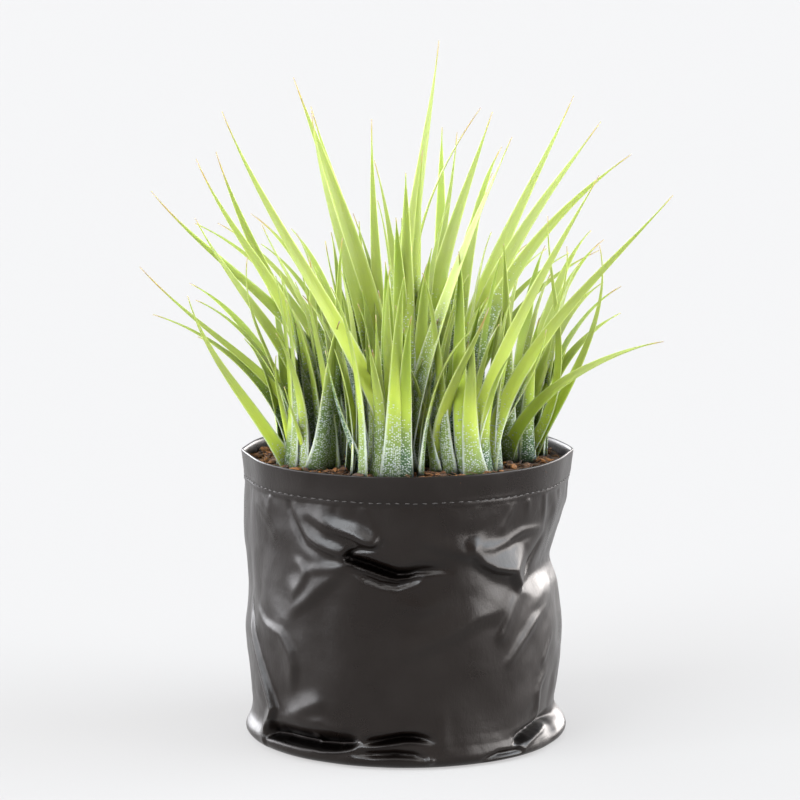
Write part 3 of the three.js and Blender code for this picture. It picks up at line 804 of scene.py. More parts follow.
# The same for the right side and the back, which the photograph does not show
BACK_PANELS: tuple[Line, ...] = (
    ((34, 86, 0.8), (52, 80, 1.5), (69, 84, 1.1)),
    ((42, 74, -2.4), (58, 70, -2.8), (72, 74, -1.8)),
    ((30, 47, 0.9), (45, 54, 1.4), (62, 51, 0.9), (70, 40, 0.7)),
    ((54, 40, -1.8), (66, 30, -1.4), (80, 27, -0.4)),
    ((84, 88, 0.9), (97, 79, 1.6), (113, 78, 0.7)),
    ((88, 68, -2.2), (103, 63, -2.6), (118, 66, -1.4)),
    ((84, 56, 1.1), (99, 49, 1.6), (111, 38, 0.9)),
    ((90, 34, -1.5), (104, 25, -1.8)),
    ((122, 86, 1.3), (136, 76, 1.7), (150, 77, 0.8)),
    ((126, 60, 1.4), (140, 54, 1.8), (158, 60, 0.9)),
    ((130, 69, -2), (146, 66, -2.3), (160, 70, -1)),
    ((120, 46, -1.4), (138, 40, -1.9), (154, 44, -0.9)),
    ((128, 30, 1.2), (144, 25, 1.5), (163, 33, 0.6)),
    ((168, 52, -0.9), (172, 38, -1), (170, 22, -0.8)),
    ((8, 11, -4.2), (22, 10, -4.2), (34, 10, -4), (44, 8, -2.6)),
    ((62, 10, -2.4), (76, 11, -4), (92, 10, -3.6), (102, 8, -1.8)),
    ((124, 9, -2.6), (138, 11, -4.2), (152, 10, -3)),
    ((22, 3, -0.4), (40, 4, -0.3), (70, 4, -0.4), (90, 4, -0.4), (130, 4, -0.4), (150, 4, -0.4)),
    ((24, 18, 0.2), (40, 17, 0), (74, 18, 0.1), (94, 18, 0), (132, 18, 0.1), (152, 19, 0)),
)

# How far in from the radius the film is at each height
INSETS = (
    (0, 5.8), (0.25, 3.8), (0.7, 2.3), (1.4, 1.1), (2.4, 0.4), (3.6, 0.1), (5, 0.2), (8, 0.9),
    (12, 1.3), (16, 1.4), (25, 1.3), (35, 1.1), (45, 1.2), (62, 1.5), (76, 1.5), (90, 1.4),
    (95.2, 1.4), (96, 1.3), (101, 0.85), (107, 0.2),
)  # fmt: skip

# Heights of the mesh's rings up the outside, closer at the foot and round the seam
UP_LEVELS = np.concatenate([
    [0.0, 0.25, 0.7], np.arange(1.3, 16, 0.6), np.arange(16.2, 94.6, 0.72),
    np.arange(94.9, 98.6, 0.33), np.arange(99, 106.4, 1.0), [106.55],
])  # fmt: skip

# Heights of the sparse rings down the inside
DOWN_LEVELS = np.concatenate([
    np.arange(105.8, 98, -1.2), [95, 90, 82, 72, 60, 48, 36, 24, 13, 6, 2.5],
])  # fmt: skip


@dataclass
class GrowBag:
    """The soft black bag: a hemmed thin film with folds, settled on a rounded foot."""

    radius: float = 60.0
    height: float = 107.0
    film: float = 0.9
    hem_depth: float = 11.0
    seed: int = 311
    finish: FilmFinish = FilmFinish()

    # Columns of the mesh over the seen part and over the rest, which starts at an angle
    front_columns: int = 356
    back_columns: int = 124
    back_from: float = 14.0

    # Rings of the mesh by height and how far in: under the foot as shares, and over the rim
    foot_shares: Point = (0.35, 0.7, 0.92)
    rim: tuple[Pair, ...] = ((106.85, 0.1), (107.0, 0.35), (106.85, 0.75), (106.5, 0.9))
    inner_foot: float = 0.7
    inner_foot_in: float = 2.4

    # The relief's grid, in degrees and millimetres, and how far its ridges are rounded
    grid: float = 0.5
    panel_softness: float = 1.6
    fold_softness: float = 0.95
    crisp_softness: float = 0.42
    crispness: float = 1.3
    foot_fade: float = 1.5
    hem_fade: float = 1.2

    # Painted shade: depths where a crisp hollow starts to take it and takes it fully, how far it
    # spreads down over the lip below, and its share on the inner face and over the rim
    painted_shade_from: float = 1.3
    painted_shade_full: float = 3.2
    painted_shade_lip: float = 1.5
    inner_shade: float = 1.0
    rim_shade: float = 0.5

    # Panels: how far their lines are repeated, and the plain points along the top and the foot
    panel_reach: float = 225.0
    panel_merge: float = 0.01
    plain_step: int = 10
    plain_ends: tuple[Pair, ...] = ((3.0, 95.0), (5.0, 0.0))

    # Small seeded facets behind: their places, and how far they shift, keep clear and rise
    seeded_angles: Point = (18, 170, 11)
    seeded_heights: Point = (20, 92, 12)
    seeded_shift: float = 4.0
    seeded_gap: float = 6.0
    seeded_rise: float = 0.7

    # Crinkles as rise and step, and the tight front that has few: middle, reach and share
    crinkles: tuple[Pair, ...] = ((0.28, 10.0), (0.07, 4.0))
    calm_middle: Pair = (-86, 38)
    calm_reach: Pair = (30, 27)
    calm: float = 0.8

    # Gathers under the seam
    pucker_step: float = 7.0
    pucker_shift: float = 3.4
    pucker_length: Pair = (3, 10)
    pucker_rise: Pair = (-0.35, 0.45)
    pucker_lean: float = 0.35
    pucker_width: float = 1.1
    pucker_spread: float = 0.16

    # The two side creases, the seam's groove, and the hem's pleats as rise, waves and shift
    creases: Pair = (0, 180)
    crease_reach: float = 15.0
    crease_rise: float = 1.7
    crease_power: float = 1.7
    seam_height: float = 97.2
    seam_depth: float = 0.10
    seam_width: float = 0.35
    pleats: Line = ((0.35, 3, 1.1), (0.22, 7, 0.4), (0.12, 16, 0))
    pleat_share: float = 0.8
    pleat_fade: float = 3.0

    def __post_init__(self) -> None:
        """Works out the relief of the folds, and the painted shade of their crisp hollows."""
        self.random = np.random.default_rng(self.seed)
        self.hem_foot = self.height - self.hem_depth
        self.angles = np.arange(-180, 180 + self.grid, self.grid)
        self.heights = np.arange(0, self.hem_foot + self.grid, self.grid)
        self.across, self.up = np.meshgrid(self.angles, self.heights)
        ahead = np.linspace(-180, self.back_from, self.front_columns, endpoint=False)
        behind = np.linspace(self.back_from, 180, self.back_columns, endpoint=False)
        self.turns = np.concatenate([ahead, behind])
        panels = self._softened(self._facets(self._lines()), self.panel_softness)
        folds = self._softened(self._folds(False), self.fold_softness)
        crisp = self._softened(self._folds(True), self.crisp_softness)
        self.relief = panels + folds + crisp + self._crinkles() + self._puckers()
        # Painted shade: deeper crisp hollows are darker, and the shade spreads down over the lip below
        depth = (-crisp - self.painted_shade_from) / (self.painted_shade_full - self.painted_shade_from)
        hollow = np.clip(depth, 0, 1)
        for _ in range(int(self.painted_shade_lip / self.grid)):
            hollow[:-1] = np.maximum(hollow[:-1], hollow[1:])
        self.hollow = self._softened(hollow, self.crisp_softness)

    def _lines(self) -> list[Line]:
        """Every panel's line, the plain edges, and small seeded facets at the back."""
        lines = [*FRONT_PANELS, *BACK_PANELS]
        for angle in range(-180, 180, self.plain_step):
            lines += [((angle + beyond, height, 0.0),) for beyond, height in self.plain_ends]
        placed = np.array([point for line in lines for point in line])[:, :2]
        for angle in np.arange(*self.seeded_angles):
            for height in np.arange(*self.seeded_heights):
                shift = self.random.uniform(-self.seeded_shift, self.seeded_shift, 2)
                place = np.array([angle, height]) + shift
                if np.linalg.norm(placed - place, axis=1).min() > self.seeded_gap:
                    rise = self.random.uniform(-self.seeded_rise, self.seeded_rise)
                    lines.append(((place[0], place[1], rise),))
        return lines

    def _window(self, low: Array, high: Array) -> tuple[tuple[Array, Array], Array, Array]:
        """The grid between two corners: its index, and each place's angle and height."""
        columns = np.flatnonzero((self.angles >= low[0]) & (self.angles <= high[0]))
        rows = np.flatnonzero((self.heights >= low[1]) & (self.heights <= high[1]))
        spot = np.ix_(rows, columns)
        return spot, self.across[spot], self.up[spot]

    def _folds(self, crisp: bool) -> Array:
        """The sum of the crisp folds or of the soft ones, on the grid."""
        relief = np.zeros_like(self.across)
        for fold in FOLDS:
            if fold.crisp == crisp:
                for turn in TURNS:
                    self._fold(relief, fold, turn)
        return relief

    def _fold(self, relief: Array, fold: Fold, turn: float) -> None:
        """Adds one fold to the grid.

        Args:
            relief: the grid that takes it.
            fold: the crest or hollow.
            turn: degrees by which its line is moved round the bag.
        """
        line = np.array(fold.line) + [turn, 0, 0]
        arc = math.radians(self.radius)
        spread = max(fold.left, fold.right)
        margin = np.array([spread / arc, spread, 0])
        spot, x, y = self._window(line.min(axis=0) - margin, line.max(axis=0) + margin)
        x = x * arc
        line = line * [arc, 1, 1]
        nearest = np.full(x.shape, np.inf)
        share = np.zeros(x.shape)
        for (ax, ay, start), (bx, by, end) in zip(line[:-1], line[1:]):
            run = np.array([bx - ax, by - ay])
            along = np.clip(((x - ax) * run[0] + (y - ay) * run[1]) / (run @ run), 0, 1)
            away = np.hypot(x - ax - along * run[0], y - ay - along * run[1])
            on_left = run[0] * (y - ay) - run[1] * (x - ax) > 0
            reach = np.where(on_left, fold.left, fold.right)
            tent = np.clip(1 - away / reach, 0, 1) ** self.crispness
            closer = away < nearest
            share = np.where(closer, tent * (start + (end - start) * along), share)
            nearest = np.where(closer, away, nearest)
        relief[spot] += share

    def _facets(self, lines: list[Line]) -> Array:
        """The film laid flat between lines, on the grid of angles and heights."""
        points: list[Point] = []
        edges: list[tuple[int, int]] = []
        for turn in TURNS:
            for line in lines:
                chain = [(angle + turn, height, out) for angle, height, out in line]
                chain = [point for point in chain if abs(point[0]) < self.panel_reach]
                edges += [(len(points) + k, len(points) + k + 1) for k in range(len(chain) - 1)]
                points += chain
        flat = [Vector(point[:2]) for point in points]
        joined = delaunay_2d_cdt(flat, edges, [], 0, self.panel_merge)
        corners, _, faces, origins, _, _ = joined
        known = np.array(points)
        rises = []
        for corner, origin in zip(corners, origins):
            nearest = np.hypot(known[:, 0] - corner.x, known[:, 1] - corner.y).argmin()
            rises.append(known[origin[0] if origin else nearest, 2])
        relief = np.zeros_like(self.across)
        for face in faces:
            self._lay(relief, [corners[k] for k in face], [rises[k] for k in face])
        return relief

    def _lay(self, relief: Array, corners: list[Vector], rises: list[float]) -> None:
        """Lays one flat facet on the grid.

        Args:
            relief: the grid that takes it.
            corners: the facet's three corners as angle and height.
            rises: how far out each corner is.
        """
        (ax, ay), (bx, by), (cx, cy) = corners
        whole = (bx - ax) * (cy - ay) - (cx - ax) * (by - ay)
        if abs(whole) < TINY:
            return
        spot, x, y = self._window(np.min(corners, axis=0), np.max(corners, axis=0))
        second = ((x - ax) * (cy - ay) - (cx - ax) * (y - ay)) / whole
        third = ((bx - ax) * (y - ay) - (x - ax) * (by - ay)) / whole
        first = 1 - second - third
        inside = np.minimum.reduce([first, second, third]) >= -1e-6
        level = first * rises[0] + second * rises[1] + third * rises[2]
        relief[spot] = np.where(inside, level, relief[spot])

    def _softened(self, relief: Array, softness: float) -> Array:
        """The relief with its ridges rounded over a distance in millimetres."""
        spread = softness / self.grid
        reach = int(3 * spread) + 1
        shares = np.exp(-0.5 * (np.arange(-reach, reach + 1) / spread) ** 2)
        shares /= shares.sum()
        ring = relief[:, :-1]
        wide = sum(share * np.roll(ring, k - reach, axis=1) for k, share in enumerate(shares))
        tall = np.pad(wide, ((reach, reach), (0, 0)), mode="edge")
        count = len(relief)
        soft = sum(share * tall[k : k + count] for k, share in enumerate(shares))
        return np.hstack([soft, soft[:, :1]])

    def _crinkles(self) -> Array:
        """Small soft dents all over the film, fewer on the tight front."""
        sideways = (self.across - self.calm_middle[0]) / self.calm_reach[0]
        upward = (self.up - self.calm_middle[1]) / self.calm_reach[1]
        calm = np.exp(-(sideways**4) - upward**4)
        dents = sum(
            rise * uneven(self.random, self.across, self.up, step, 360.0)
            for rise, step in self.crinkles
        )
        return dents * (1 - self.calm * calm)

    def _puckers(self) -> Array:
        """Short gathers that hang from the seam."""
        gathers = np.zeros_like(self.across)
        drop = np.maximum(0, self.hem_foot - self.up)
        for angle in np.arange(-178, 180, self.pucker_step):
            middle = angle + self.random.uniform(-self.pucker_shift, self.pucker_shift)
            length = self.random.uniform(*self.pucker_length)
            rise = self.random.uniform(*self.pucker_rise)
            lean = self.random.uniform(-self.pucker_lean, self.pucker_lean)
            away = np.abs((self.across - middle - lean * drop + 180) % 360 - 180)
            width = self.pucker_width + drop * self.pucker_spread
            gathers += rise * np.exp(-((away / width) ** 2) - (drop / length) ** 2)
        return gathers

    def _read(self, grid: Array, angles: Array, heights: Array) -> Array:
        """What a grid of angles and heights says at each angle and height."""
        up = np.clip(heights / self.grid, 0, len(self.heights) - 1.001)
        return sampled(grid, (angles - self.angles[0]) / self.grid, up)

    def wall(self, angles: Array, heights: Array) -> Array:
        """Radius of the film's outer face at each angle and height."""
        steps, insets = np.array(INSETS).T
        fade = np.clip(heights / self.foot_fade, 0, 1)
        fade = fade * np.clip((self.hem_foot - heights) / self.hem_fade, 0, 1)
        relief = self._read(self.relief, angles, heights) * fade
        radius = self.radius - np.interp(heights, steps, insets) + relief
        for crease in self.creases:
            sharp = np.clip(1 - apart(angles, crease) / self.crease_reach, 0, 1)
            radius = radius + self.crease_rise * sharp**self.crease_power * heights / self.height
        groove = np.exp(-(((heights - self.seam_height) / self.seam_width) ** 2))
        turn = np.radians(angles)
        pleats = sum(rise * np.sin(waves * turn + shift) for rise, waves, shift in self.pleats)
        hem = np.clip((heights - self.hem_foot) / self.pleat_fade, 0, 1)
        return radius - self.seam_depth * groove + hem * pleats * self.pleat_share

    def _ring(self, heights: Array, inward: float = 0.0) -> Array:
        """Rings of points on the film, one for each height."""
        angles, levels = np.meshgrid(self.turns, heights)
        return ring(self.wall(angles, levels) - inward, np.radians(angles), levels)

    def _inner_rings(self, heights: Array) -> Array:
        """Sparse rings on the film's inner face, clear of every fold between them.

        Args:
            heights: height of each ring, from the top down.

        Returns:
            The rings.
        """
        rings = []
        for k, height in enumerate(heights):
            above = heights[max(0, k - 1)]
            below = heights[min(len(heights) - 1, k + 1)]
            between = np.arange(below, above + self.grid, self.grid)
            radius = self.wall(*np.meshgrid(self.turns, between)).min(axis=0) - self.film
            rings.append(ring(radius, np.radians(self.turns), height))
        return np.array(rings)

    def build(self) -> None:
        """The bag as one closed film, up the outside, over the rim and down the inside."""
        foot = self._ring(np.zeros(1))
        under = [foot * np.array([share, share, 1.0]) for share in self.foot_shares]
        rim = [self._ring(np.array([level]), inward) for level, inward in self.rim]
        base = self._ring(np.array([self.inner_foot]), self.film + self.inner_foot_in)
        parts = [*under, self._ring(UP_LEVELS), *rim, self._inner_rings(DOWN_LEVELS), base]
        rings = np.concatenate(parts)
        # Painted shade on each point: from the crisp hollows up the outside, a set share over the rim,
        # and the inner face's share down the inside
        painted_shade_share = np.zeros(rings.shape[:2])
        first = len(under)
        over = first + len(UP_LEVELS)
        painted_shade_share[first:over] = self._read(self.hollow, *np.meshgrid(self.turns, UP_LEVELS))
        painted_shade_share[over:] = self.rim_shade
        painted_shade_share[over + len(rim) :] = self.inner_shade
        shape = Shape()
        kept = {"hollow": np.repeat(painted_shade_share[..., None], 3, axis=-1)}
        shape.skin(rings, np.zeros(3), np.array([0, 0, self.inner_foot]), kept)
        shape.build("bag_film", self.finish.material(), Slot.FILM, "grow_bag")


@dataclass
class Stitching:
    """The row of stitches that holds the hem.

    The spreads are how far each stitch differs from the next, in millimetres, or in degrees for
    its place.
    """

    bag: GrowBag
    pitch: float = 3.3
    length: float = 2.3
    thick: float = 0.24
    stand: float = 0.12
    place_spread: float = 0.25
    length_spread: Pair = (0.85, 1.1)
    height_spread: float = 0.08
    slant_spread: float = 0.1
    sides: int = 6
    rings: int = 6
    seed: int = 77
    finish: ThreadFinish = ThreadFinish()

    def build(self) -> None:
        """Short threads laid along the seam's groove, one after another."""
        random = np.random.default_rng(self.seed)
        count = round(2 * math.pi * self.bag.radius / self.pitch)
        shares = np.linspace(-1, 1, self.rings)
        bow = self.thick * (1 - shares**2) ** 0.5
        turn = circle(self.sides)
        shape = Shape()
        for k in range(count):
            spread = random.uniform(-self.place_spread, self.place_spread)
            middle = -180 + 360 * (k + 0.5) / count + spread
            half = math.degrees(self.length / 2 / self.bag.radius)
            half *= random.uniform(*self.length_spread)
            angles = middle + half * shares
            level = self.bag.seam_height + random.uniform(-self.height_spread, self.height_spread)
            heights = level + shares * random.uniform(-self.slant_spread, self.slant_spread)
            radius = self.bag.wall(angles, heights) + self.stand * (1 - shares**2)
            out = radius[:, None] + bow[:, None] * np.cos(turn)
            up = heights[:, None] + bow[:, None] * np.sin(turn)
            shape.skin(ring(out, np.radians(angles)[:, None], up))
        shape.build("seam_stitches", self.finish.material(), Slot.FILM)


@dataclass
class Soil:
    """The bed of potting mix, with loose chips and fibres on its top."""

    bag: GrowBag
    relief: float = 1.0
    gap: float = 0.3
    columns: int = 180
    foot: float = 1.4
    foot_in: float = 3.0
    side_step: float = 4.0
    shoulder: float = 101.0
    top_rings: int = 44
    top_crowding: float = 1.1
    edge_fade: float = 20.0
    edge_crumbs: float = 0.2
    spot_margin: float = 4.2
    spot_from: float = 0.18
    clearance: Pair = (2.0, 3.0)
    crumbs: tuple[Pair, ...] = ((2.4, 0.7), (1.3, 0.35))
    chips: int = 1500
    chip_size: Pair = (0.6, 1.9)
    chip_long: Pair = (1.0, 1.9)
    chip_flat: Pair = (0.3, 0.6)
    chip_lift: Pair = (0.0, 1.3)
    chip_rings: tuple[Pair, ...] = ((-0.6, 0.7), (0.0, 1.0), (0.6, 0.72))
    chip_uneven: Pair = (0.7, 1.15)
    chip_tilt: float = 0.5
    chip_sides: int = 6
    chip_ends: Pair = (-0.8, 0.8)
    fibres: int = 260
    fibre_lift: Pair = (0.4, 1.6)
    fibre_length: Pair = (2.5, 7)
    fibre_bow: Pair = (-2, 2)
    fibre_rise: Pair = (-0.3, 1.2)
    fibre_slope: Pair = (-0.5, 0.5)
    fibre_thick: Pair = (0.1, 0.2)
    fibre_rings: int = 7
    fibre_sides: int = 4
    bed_seed: int = 58
    chip_seed: int = 59
    finish: SoilFinish = SoilFinish()
    chip_finish: SoilFinish = SoilFinish(name="potting_chips", chips=True)

    def height_at(self, x: Array, y: Array) -> Array:
        """Height of the bed's top: low waves in two directions."""
        wave = np.sin(x * 0.31 + 1.3) * np.cos(y * 0.27) + 0.5 * np.sin((x - y) * 0.53)
        return SOIL_TOP + self.relief * (wave / 1.5 - 0.4)

    def build_bed(self) -> None:
        """The bed: it follows the bag's inside, and its top is crumbled."""
        random = np.random.default_rng(self.bed_seed)
        turns = np.linspace(-180, 180, self.columns, endpoint=False)
        radians = np.radians(turns)
        inset = self.bag.film + self.gap
        side, rise = self.clearance
        beside = [(turns + shift + 180) % 360 - 180 for shift in (-side, 0.0, side)]
        rings = []
        for level in [self.foot, *np.arange(self.side_step, 100, self.side_step), self.shoulder]:
            near = [self.bag.wall(angles, np.full(self.columns, level + lift))
                    for angles in beside for lift in (-rise, 0.0, rise)]
            radius = np.minimum.reduce(near) - inset - (self.foot_in if level == self.foot else 0)
            rings.append(ring(radius, radians, level))
        edge = self.bag.wall(turns, np.full(self.columns, SOIL_TOP)) - inset
        for share in 1 - np.linspace(0, 1, self.top_rings)[:-1] ** self.top_crowding:
            points = ring(edge * share, radians, 0.0)
            x, y = points[:, 0], points[:, 1]
            crumbs = sum(uneven(random, x, y, step) * size for step, size in self.crumbs)
            loose = min(1.0, (1 - share) * self.edge_fade + self.edge_crumbs)
            points[:, 2] = self.height_at(x, y) + crumbs * loose
            rings.append(points)
        middle = np.array([0, 0, self.height_at(0.0, 0.0)])
        shape = Shape()
        shape.skin(np.array(rings), np.array([0, 0, self.foot]), middle)
        shape.build("soil_bed", self.finish.material(), Slot.SOIL, "soil")

    def _spots(self, random: Random, count: int) -> Array:
        """Places scattered over the bed, more of them towards the bag."""
        angle = random.uniform(-math.pi, math.pi, count)
        reach = self.bag.radius - self.spot_margin
        radius = reach * random.uniform(self.spot_from, 1, count) ** 0.5
        x = radius * np.cos(angle)
        y = radius * np.sin(angle)
        return np.stack([x, y, self.height_at(x, y)], axis=-1)

    def build_chips(self) -> None:
        """Small flat chips and thin fibres, each lying its own way."""
        random = np.random.default_rng(self.chip_seed)
        shape = Shape()
        for spot in self._spots(random, self.chips):
            size = random.uniform(*self.chip_size)
            long = size * random.uniform(*self.chip_long)
            sizes = np.array([long, size, size * random.uniform(*self.chip_flat)])
            self._chip(shape, random, spot + [0, 0, random.uniform(*self.chip_lift)], sizes)
        for spot in self._spots(random, self.fibres):
            self._fibre(shape, random, spot + [0, 0, random.uniform(*self.fibre_lift)])
        shape.build("soil_chips", self.chip_finish.material(), Slot.SOIL)

    def _chip(self, shape: Shape, random: Random, middle: Array, sizes: Array) -> None:
        """Adds one chip: a flattened lump of three uneven rings."""
        rings = []
        for level, spread in self.chip_rings:
            reach = spread * random.uniform(*self.chip_uneven, self.chip_sides)
            rings.append(ring(reach, circle(self.chip_sides), level))
        spin = random.uniform(-math.pi, math.pi)
        tilt = random.normal(0, self.chip_tilt)
        about = [[math.cos(spin), -math.sin(spin), 0], [math.sin(spin), math.cos(spin), 0], [0, 0, 1]]
        lean = [[1, 0, 0], [0, math.cos(tilt), -math.sin(tilt)], [0, math.sin(tilt), math.cos(tilt)]]
        turned = (np.array(about) @ np.array(lean)).T
        lump = (np.array(rings) * sizes) @ turned + middle
        low, high = (np.array([0, 0, end]) * sizes @ turned + middle for end in self.chip_ends)
        habit = np.broadcast_to([random.uniform(0, 1), 0.0, 0.0], lump.shape)
        shape.skin(lump, low, high, {"habit": habit})

    def _fibre(self, shape: Shape, random: Random, middle: Array) -> None:
        """Adds one fibre: a thin bowed thread."""
        shares = np.linspace(-1, 1, self.fibre_rings)
        length = random.uniform(*self.fibre_length)
        heading = random.uniform(-math.pi, math.pi)
        bow = random.uniform(*self.fibre_bow)
        x = shares * length * math.cos(heading) - bow * shares**2 * math.sin(heading)
        y = shares * length * math.sin(heading) + bow * shares**2 * math.cos(heading)
        rise = random.uniform(*self.fibre_rise) * (1 - shares**2)
        z = rise + shares * random.uniform(*self.fibre_slope)
        line = np.stack([x, y, z], axis=-1) + middle
        thick = random.uniform(*self.fibre_thick) * (1.05 - shares**2)
        turn = circle(self.fibre_sides)[None, :, None]
        side = np.array([-math.sin(heading), math.cos(heading), 0])
        round_it = np.cos(turn) * side + np.sin(turn) * np.array([0, 0, 1.0])
        rings = line[:, None, :] + thick[:, None, None] * round_it
        habit = np.broadcast_to([random.uniform(0.3, 1), 0.0, 0.0], rings.shape)
        shape.skin(rings, line[0], line[-1], {"habit": habit})


class Dice:
    """Seeded draws, the same as the solids' own, so that leaves placed by rule match theirs."""

    whole = 0xFFFFFFFF
    step = 0x6D2B79F5

    def __init__(self, seed: int) -> None:
        """Starts at the seed."""
        self.state = seed & self.whole

    def draw(self) -> float:
        """The next number from 0 to 1."""
        self.state = (self.state + self.step) & self.whole
        mixed = ((self.state ^ (self.state >> 15)) * (self.state | 1)) & self.whole
        twice = ((mixed ^ (mixed >> 7)) * (mixed | 61)) & self.whole
        mixed ^= (mixed + twice) & self.whole
        return ((mixed ^ (mixed >> 14)) & self.whole) / (self.whole + 1)

    def between(self, low: float, high: float) -> float:
        """The next number from low to high."""
        return low + (high - low) * self.draw()


@dataclass(frozen=True)
class Leaf:
    """One leaf: its line as root, points a third and two thirds along, and tip.

    Width is in millimetres. Front is how far the upper face turns to the front. Scurf is the
    share of the length that the white scales cover, tone runs from -1, deep, to 1, lime, and
    dry is how far the tip has withered.
    """

    root: Pair
    third: Point
    two_thirds: Point
    tip: Point
    width: float
    front: float
    scurf: float = 0.3
    tone: float = 0.0
    dry: float = 0.3


@dataclass(frozen=True)
class Blade:
    """How a leaf's line grows into a blade: channelled, clasping at its root, fine at its tip."""

    steps: int = 26
    sides: int = 14
    crowding: float = 0.92
    root_shift: float = 4.5
    root_shift_at: float = 30.0
    root_depth: float = 6.0
    root_pull: float = 0.45
    root_narrow: float = 0.6
    thick: float = 1.25
    tip_thick: float = 0.35
    tip_width: float = 0.35
    tail_width: float = 1.0
    tail_power: float = 0.7
    sheath: float = 0.28
    sheath_at: float = 0.10
    taper_end: float = 0.97
    taper: float = 1.4
    channel: float = 0.42
    channel_power: float = 1.7
    channel_loss: float = 0.6
    twist: float = 0.35
    sway: float = 0.6
    sway_reach: float = 3.0
    sway_waves: Pair = (3, 6)
    look: float = 0.01
    under_from: float = 0.05
    marking_step: float = 7.3

    def _line(self, leaf: Leaf, shares: Array) -> Array:
        """Points on the cubic curve that passes through the leaf's four points.

        Roots in front of the bag's middle stand a little further out, behind the hem.

        Args:
            leaf: the leaf.
            shares: places along it from 0 at its root to 1 at its tip.

        Returns:
            One point for each place.
        """
        shift = self.root_shift * min(1.0, max(0.0, -leaf.root[1] / self.root_shift_at))
        outward = 1 + shift / max(1.0, math.hypot(*leaf.root))
        root = np.array([leaf.root[0] * outward, leaf.root[1] * outward, SOIL_TOP])
        t = shares[:, None]
        return (
            -4.5 * (t - 1 / 3) * (t - 2 / 3) * (t - 1) * root
            + 13.5 * t * (t - 2 / 3) * (t - 1) * np.array(leaf.third)
            - 13.5 * t * (t - 1 / 3) * (t - 1) * np.array(leaf.two_thirds)
            + 4.5 * t * (t - 1 / 3) * (t - 2 / 3) * np.array(leaf.tip)
        )

    def add(self, shape: Shape, leaf: Leaf, centre: Pair, number: int, random: Random) -> None:
        """Adds one blade, from inside the crown to its tip.

        Args:
            shape: the mesh that takes it.
            leaf: the leaf's line and habit.
            centre: the crown's middle, which the root is pulled to.
            number: the leaf's number, which sets its markings apart.
            random: seeded draws for its unevenness.
        """
        shares = np.concatenate([[0.0], np.linspace(0, 1, self.steps) ** self.crowding])
        middle = self._line(leaf, shares)
        after = self._line(leaf, np.minimum(1, shares + self.look))
        before = self._line(leaf, np.maximum(0, shares - self.look))
        along = unit(after - before)
        inward = np.array([leaf.root[0] - leaf.tip[0], leaf.root[1] - leaf.tip[1], 0.0])
        face = (1 - abs(leaf.front)) * unit(inward) + leaf.front * np.array([0, -1, 0.1])
        flat_side = unit(np.cross(along, face))
        flat_up = np.cross(flat_side, along)
        twist = (random.uniform(-self.twist, self.twist) * shares**2)[:, None]
        side = flat_side * np.cos(twist) + flat_up * np.sin(twist)
        up = flat_up * np.cos(twist) - flat_side * np.sin(twist)
        sway = random.uniform(-self.sway, self.sway)
        sway = sway * np.sin(shares * random.uniform(*self.sway_waves)) * shares * (1 - shares)
        middle = middle + side * (sway * self.sway_reach)[:, None]
        body = 1 - np.minimum(1, shares / self.taper_end) ** self.taper
        foot = 1 + self.sheath * np.exp(-((shares / self.sheath_at) ** 2))
        tail = (self.tail_width - self.tip_width) * (1 - shares) ** self.tail_power * 2
        tail = np.minimum(self.tip_width + tail, self.tail_width)
        half = np.maximum(tail, leaf.width * foot * body) / 2
        middle[0, :2] += (np.array(centre) - middle[0, :2]) * self.root_pull
        middle[0, 2] = SOIL_TOP - self.root_depth
        half[0] *= self.root_narrow
        thick = (self.thick + (self.tip_thick - self.thick) * shares) / 2
        lift = half * self.channel * (1 - self.channel_loss * shares)
        turn = circle(self.sides)
        across = np.cos(turn)
        wide = half[:, None] * across
        over = lift[:, None] * np.abs(across) ** self.channel_power - thick[:, None] * np.sin(turn)
        offset = side[:, None, :] * wide[..., None]
        rings = middle[:, None, :] + offset + up[:, None, :] * over[..., None]
        length = np.concatenate([[0], np.cumsum(np.linalg.norm(np.diff(middle, axis=0), axis=1))])
        flat = np.ones_like(over)
        under = (np.sin(turn) > self.under_from) * flat
        marks = number * self.marking_step * flat
        shape.skin(rings, kept={
            "place": np.stack([across * flat, shares[:, None] * flat, under], axis=-1),
            "blade": np.stack([wide, length[:, None] * flat, marks], axis=-1),
            "habit": np.stack([leaf.scurf * flat, leaf.dry * flat, leaf.tone * flat], axis=-1),
        })  # fmt: skip


@dataclass(frozen=True)
class Outer:
    """Arching leaves on a side of a rosette that the front view hides."""

    count: int
    start: float
    end: float
    reach: Pair
    rise: Pair


